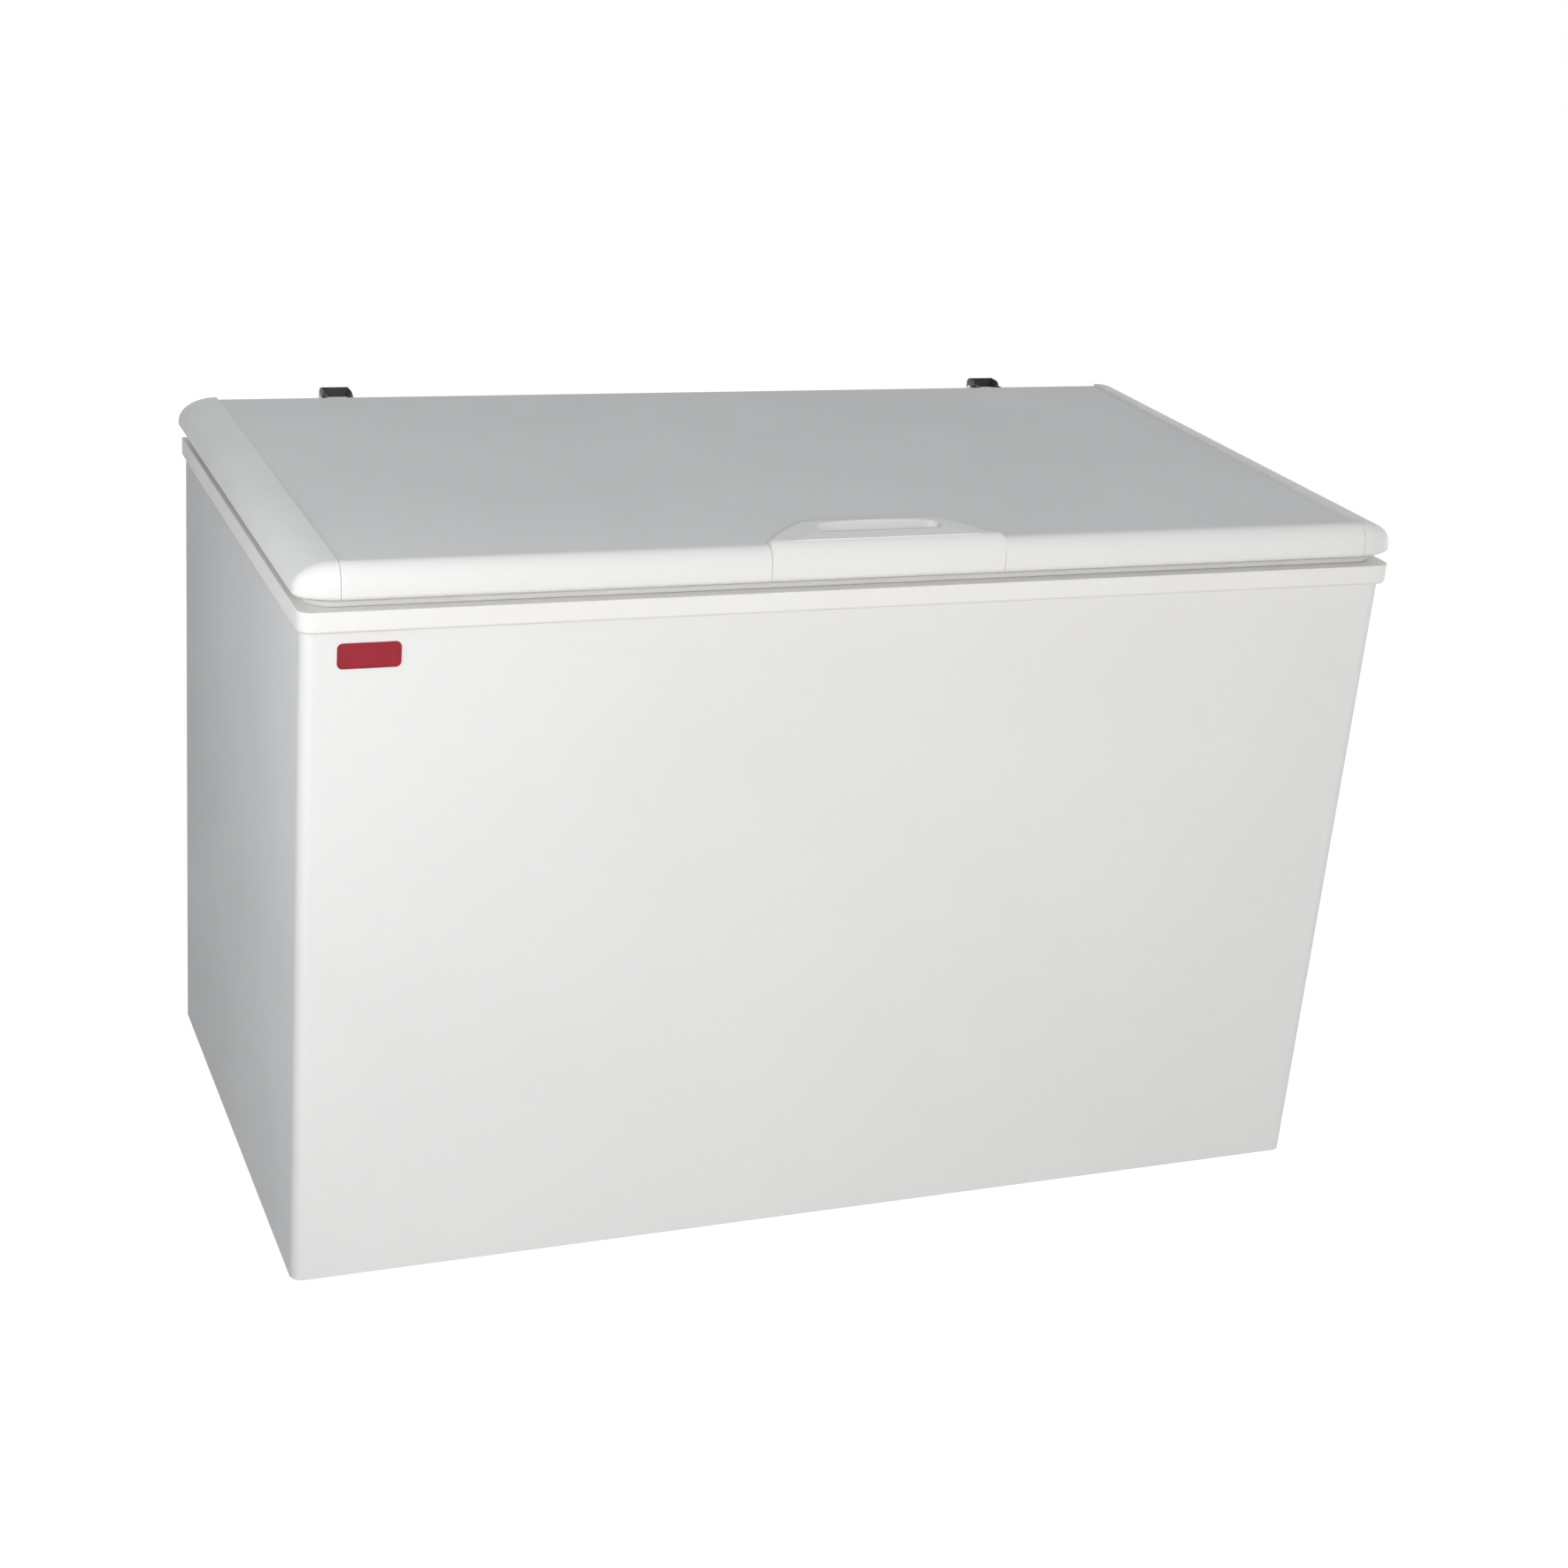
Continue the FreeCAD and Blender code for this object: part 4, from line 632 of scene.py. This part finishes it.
def cabinet_screw_places():
    """Screws of the hinge housings, rear cover, side grille and feet."""
    rearward, outward, downward = Vector((0, 1, 0)), Vector((1, 0, 0)), Vector((0, 0, -1))
    places = []
    for side in ("left", "right"):
        low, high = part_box("hinge_cabinet_leaf_" + side)
        for x in (low.x + HINGE_EAR_MIDDLE, high.x - HINGE_EAR_MIDDLE):
            for z in (low.z + HINGE_EAR_END, low.z + HINGE_EAR_LENGTH - HINGE_EAR_END):
                places.append((Vector((x, low.y + HINGE_SHEET, z)), rearward))
    low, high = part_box("rear_cover")
    for x in (low.x + COVER_FLANGE_MIDDLE, high.x - COVER_FLANGE_MIDDLE):
        for z in (low.z + COVER_FLANGE_MIDDLE, high.z - COVER_FLANGE_MIDDLE):
            places.append((Vector((x, low.y + COVER_SHEET, z)), rearward))
    low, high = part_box("side_grille")
    for y in (low.y + GRILLE_SCREW_INSET, high.y - GRILLE_SCREW_INSET):
        for z in (low.z + GRILLE_SCREW_INSET, high.z - GRILLE_SCREW_INSET):
            places.append((Vector((high.x, y, z)), outward))
    for foot in ("front_left", "front_right", "rear_left", "rear_right"):
        low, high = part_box("foot_" + foot)
        middle = (low + high) / 2
        places.append((Vector((middle.x, middle.y, low.z + FOOT_RECESS)), downward))
    return places


def lid_screw_places():
    """Two screws in each hinge plate on the back of the lid."""
    rearward = Vector((0, 1, 0))
    places = []
    for side in ("left", "right"):
        low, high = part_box("hinge_lid_leaf_" + side)
        for x in (low.x + HINGE_PLATE_END, high.x - HINGE_PLATE_END):
            places.append((Vector((x, low.y + HINGE_SHEET, (low.z + high.z) / 2)), rearward))
    return places


def make_screws(finish):
    tree = make_screw_tree()
    values = {"Head Radius": SCREW_RADIUS, "Head Height": SCREW_HEIGHT,
              "Recess Length": SCREW_RECESS_LENGTH, "Recess Width": SCREW_RECESS_WIDTH,
              "Recess Depth": SCREW_RECESS_DEPTH, "Finish": finish}
    for body, places in (("cabinet", cabinet_screw_places()), ("lid", lid_screw_places())):
        name = body + "_screws"
        mesh = grown_mesh(name, facing_points(name, places), tree, values)
        add_piece(name, mesh, body)


def make_dial_tree():
    """Marks that stand along an arc, each pointing away from its middle."""
    sizes = ("Radius", "Sweep", "Mark Length", "Mark Width", "Mark Height")
    tree, start, end = new_geometry_tree(
        "dial_marks",
        [("Count", "NodeSocketInt")] + [(label, "NodeSocketFloat") for label in sizes]
        + [("Middle", "NodeSocketVector"), ("Finish", "NodeSocketMaterial")])
    link = tree.links.new
    arc = add_node(tree, "GeometryNodeCurveArc", {"Start Angle": 0.0})
    link(start.outputs["Radius"], arc.inputs["Radius"])
    link(start.outputs["Sweep"], arc.inputs["Sweep Angle"])
    points = add_node(tree, "GeometryNodeCurveToPoints", mode="COUNT")
    link(arc.outputs["Curve"], points.inputs["Curve"])
    link(start.outputs["Count"], points.inputs["Count"])
    spot = add_node(tree, "GeometryNodeInputPosition")
    turn = add_node(tree, "FunctionNodeAlignRotationToVector", axis="X")
    link(spot.outputs["Position"], turn.inputs["Vector"])
    size = add_node(tree, "ShaderNodeCombineXYZ")
    for label, socket in (("Mark Length", "X"), ("Mark Width", "Y"), ("Mark Height", "Z")):
        link(start.outputs[label], size.inputs[socket])
    mark = add_node(tree, "GeometryNodeMeshCube")
    link(size.outputs[0], mark.inputs["Size"])
    place = add_node(tree, "GeometryNodeInstanceOnPoints")
    link(points.outputs["Points"], place.inputs["Points"])
    link(mark.outputs["Mesh"], place.inputs["Instance"])
    link(turn.outputs["Rotation"], place.inputs["Rotation"])
    real = add_node(tree, "GeometryNodeRealizeInstances")
    stand = add_node(tree, "GeometryNodeTransform", {"Rotation": (QUARTER_TURN, 0, QUARTER_TURN)})
    coat = add_node(tree, "GeometryNodeSetMaterial")
    link(place.outputs["Instances"], real.inputs["Geometry"])
    link(real.outputs["Geometry"], stand.inputs["Geometry"])
    link(start.outputs["Middle"], stand.inputs["Translation"])
    link(stand.outputs["Geometry"], coat.inputs["Geometry"])
    link(start.outputs["Finish"], coat.inputs["Material"])
    link(coat.outputs["Geometry"], end.inputs["Geometry"])
    return tree


def make_dial_marks(finish):
    knob = next(joint for joint in frame["joints"] if joint["name"] == "knob_turn")
    face_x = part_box("side_grille")[1].x
    middle = Vector((face_x, knob["pos_m"][1], knob["pos_m"][2]))
    values = {"Count": DIAL_MARK_COUNT, "Radius": DIAL_RADIUS, "Sweep": DIAL_SWEEP,
              "Mark Length": DIAL_MARK_LENGTH, "Mark Width": DIAL_MARK_WIDTH,
              "Mark Height": DIAL_MARK_HEIGHT, "Middle": middle, "Finish": finish}
    seed = bpy.data.meshes.new("dial_marks_seed")
    mesh = grown_mesh("dial_marks", seed, make_dial_tree(), values)
    add_piece("dial_marks", mesh, "cabinet")


make_camera()
make_lamps()
make_world()
make_floor()
finishes = make_finishes()
dress_nodes(finishes)
make_badge(finishes["badge_enamel"])
make_screws(finishes["pin_steel"])
make_dial_marks(finishes["black_plastic"])

scene.view_settings.view_transform = "Standard"
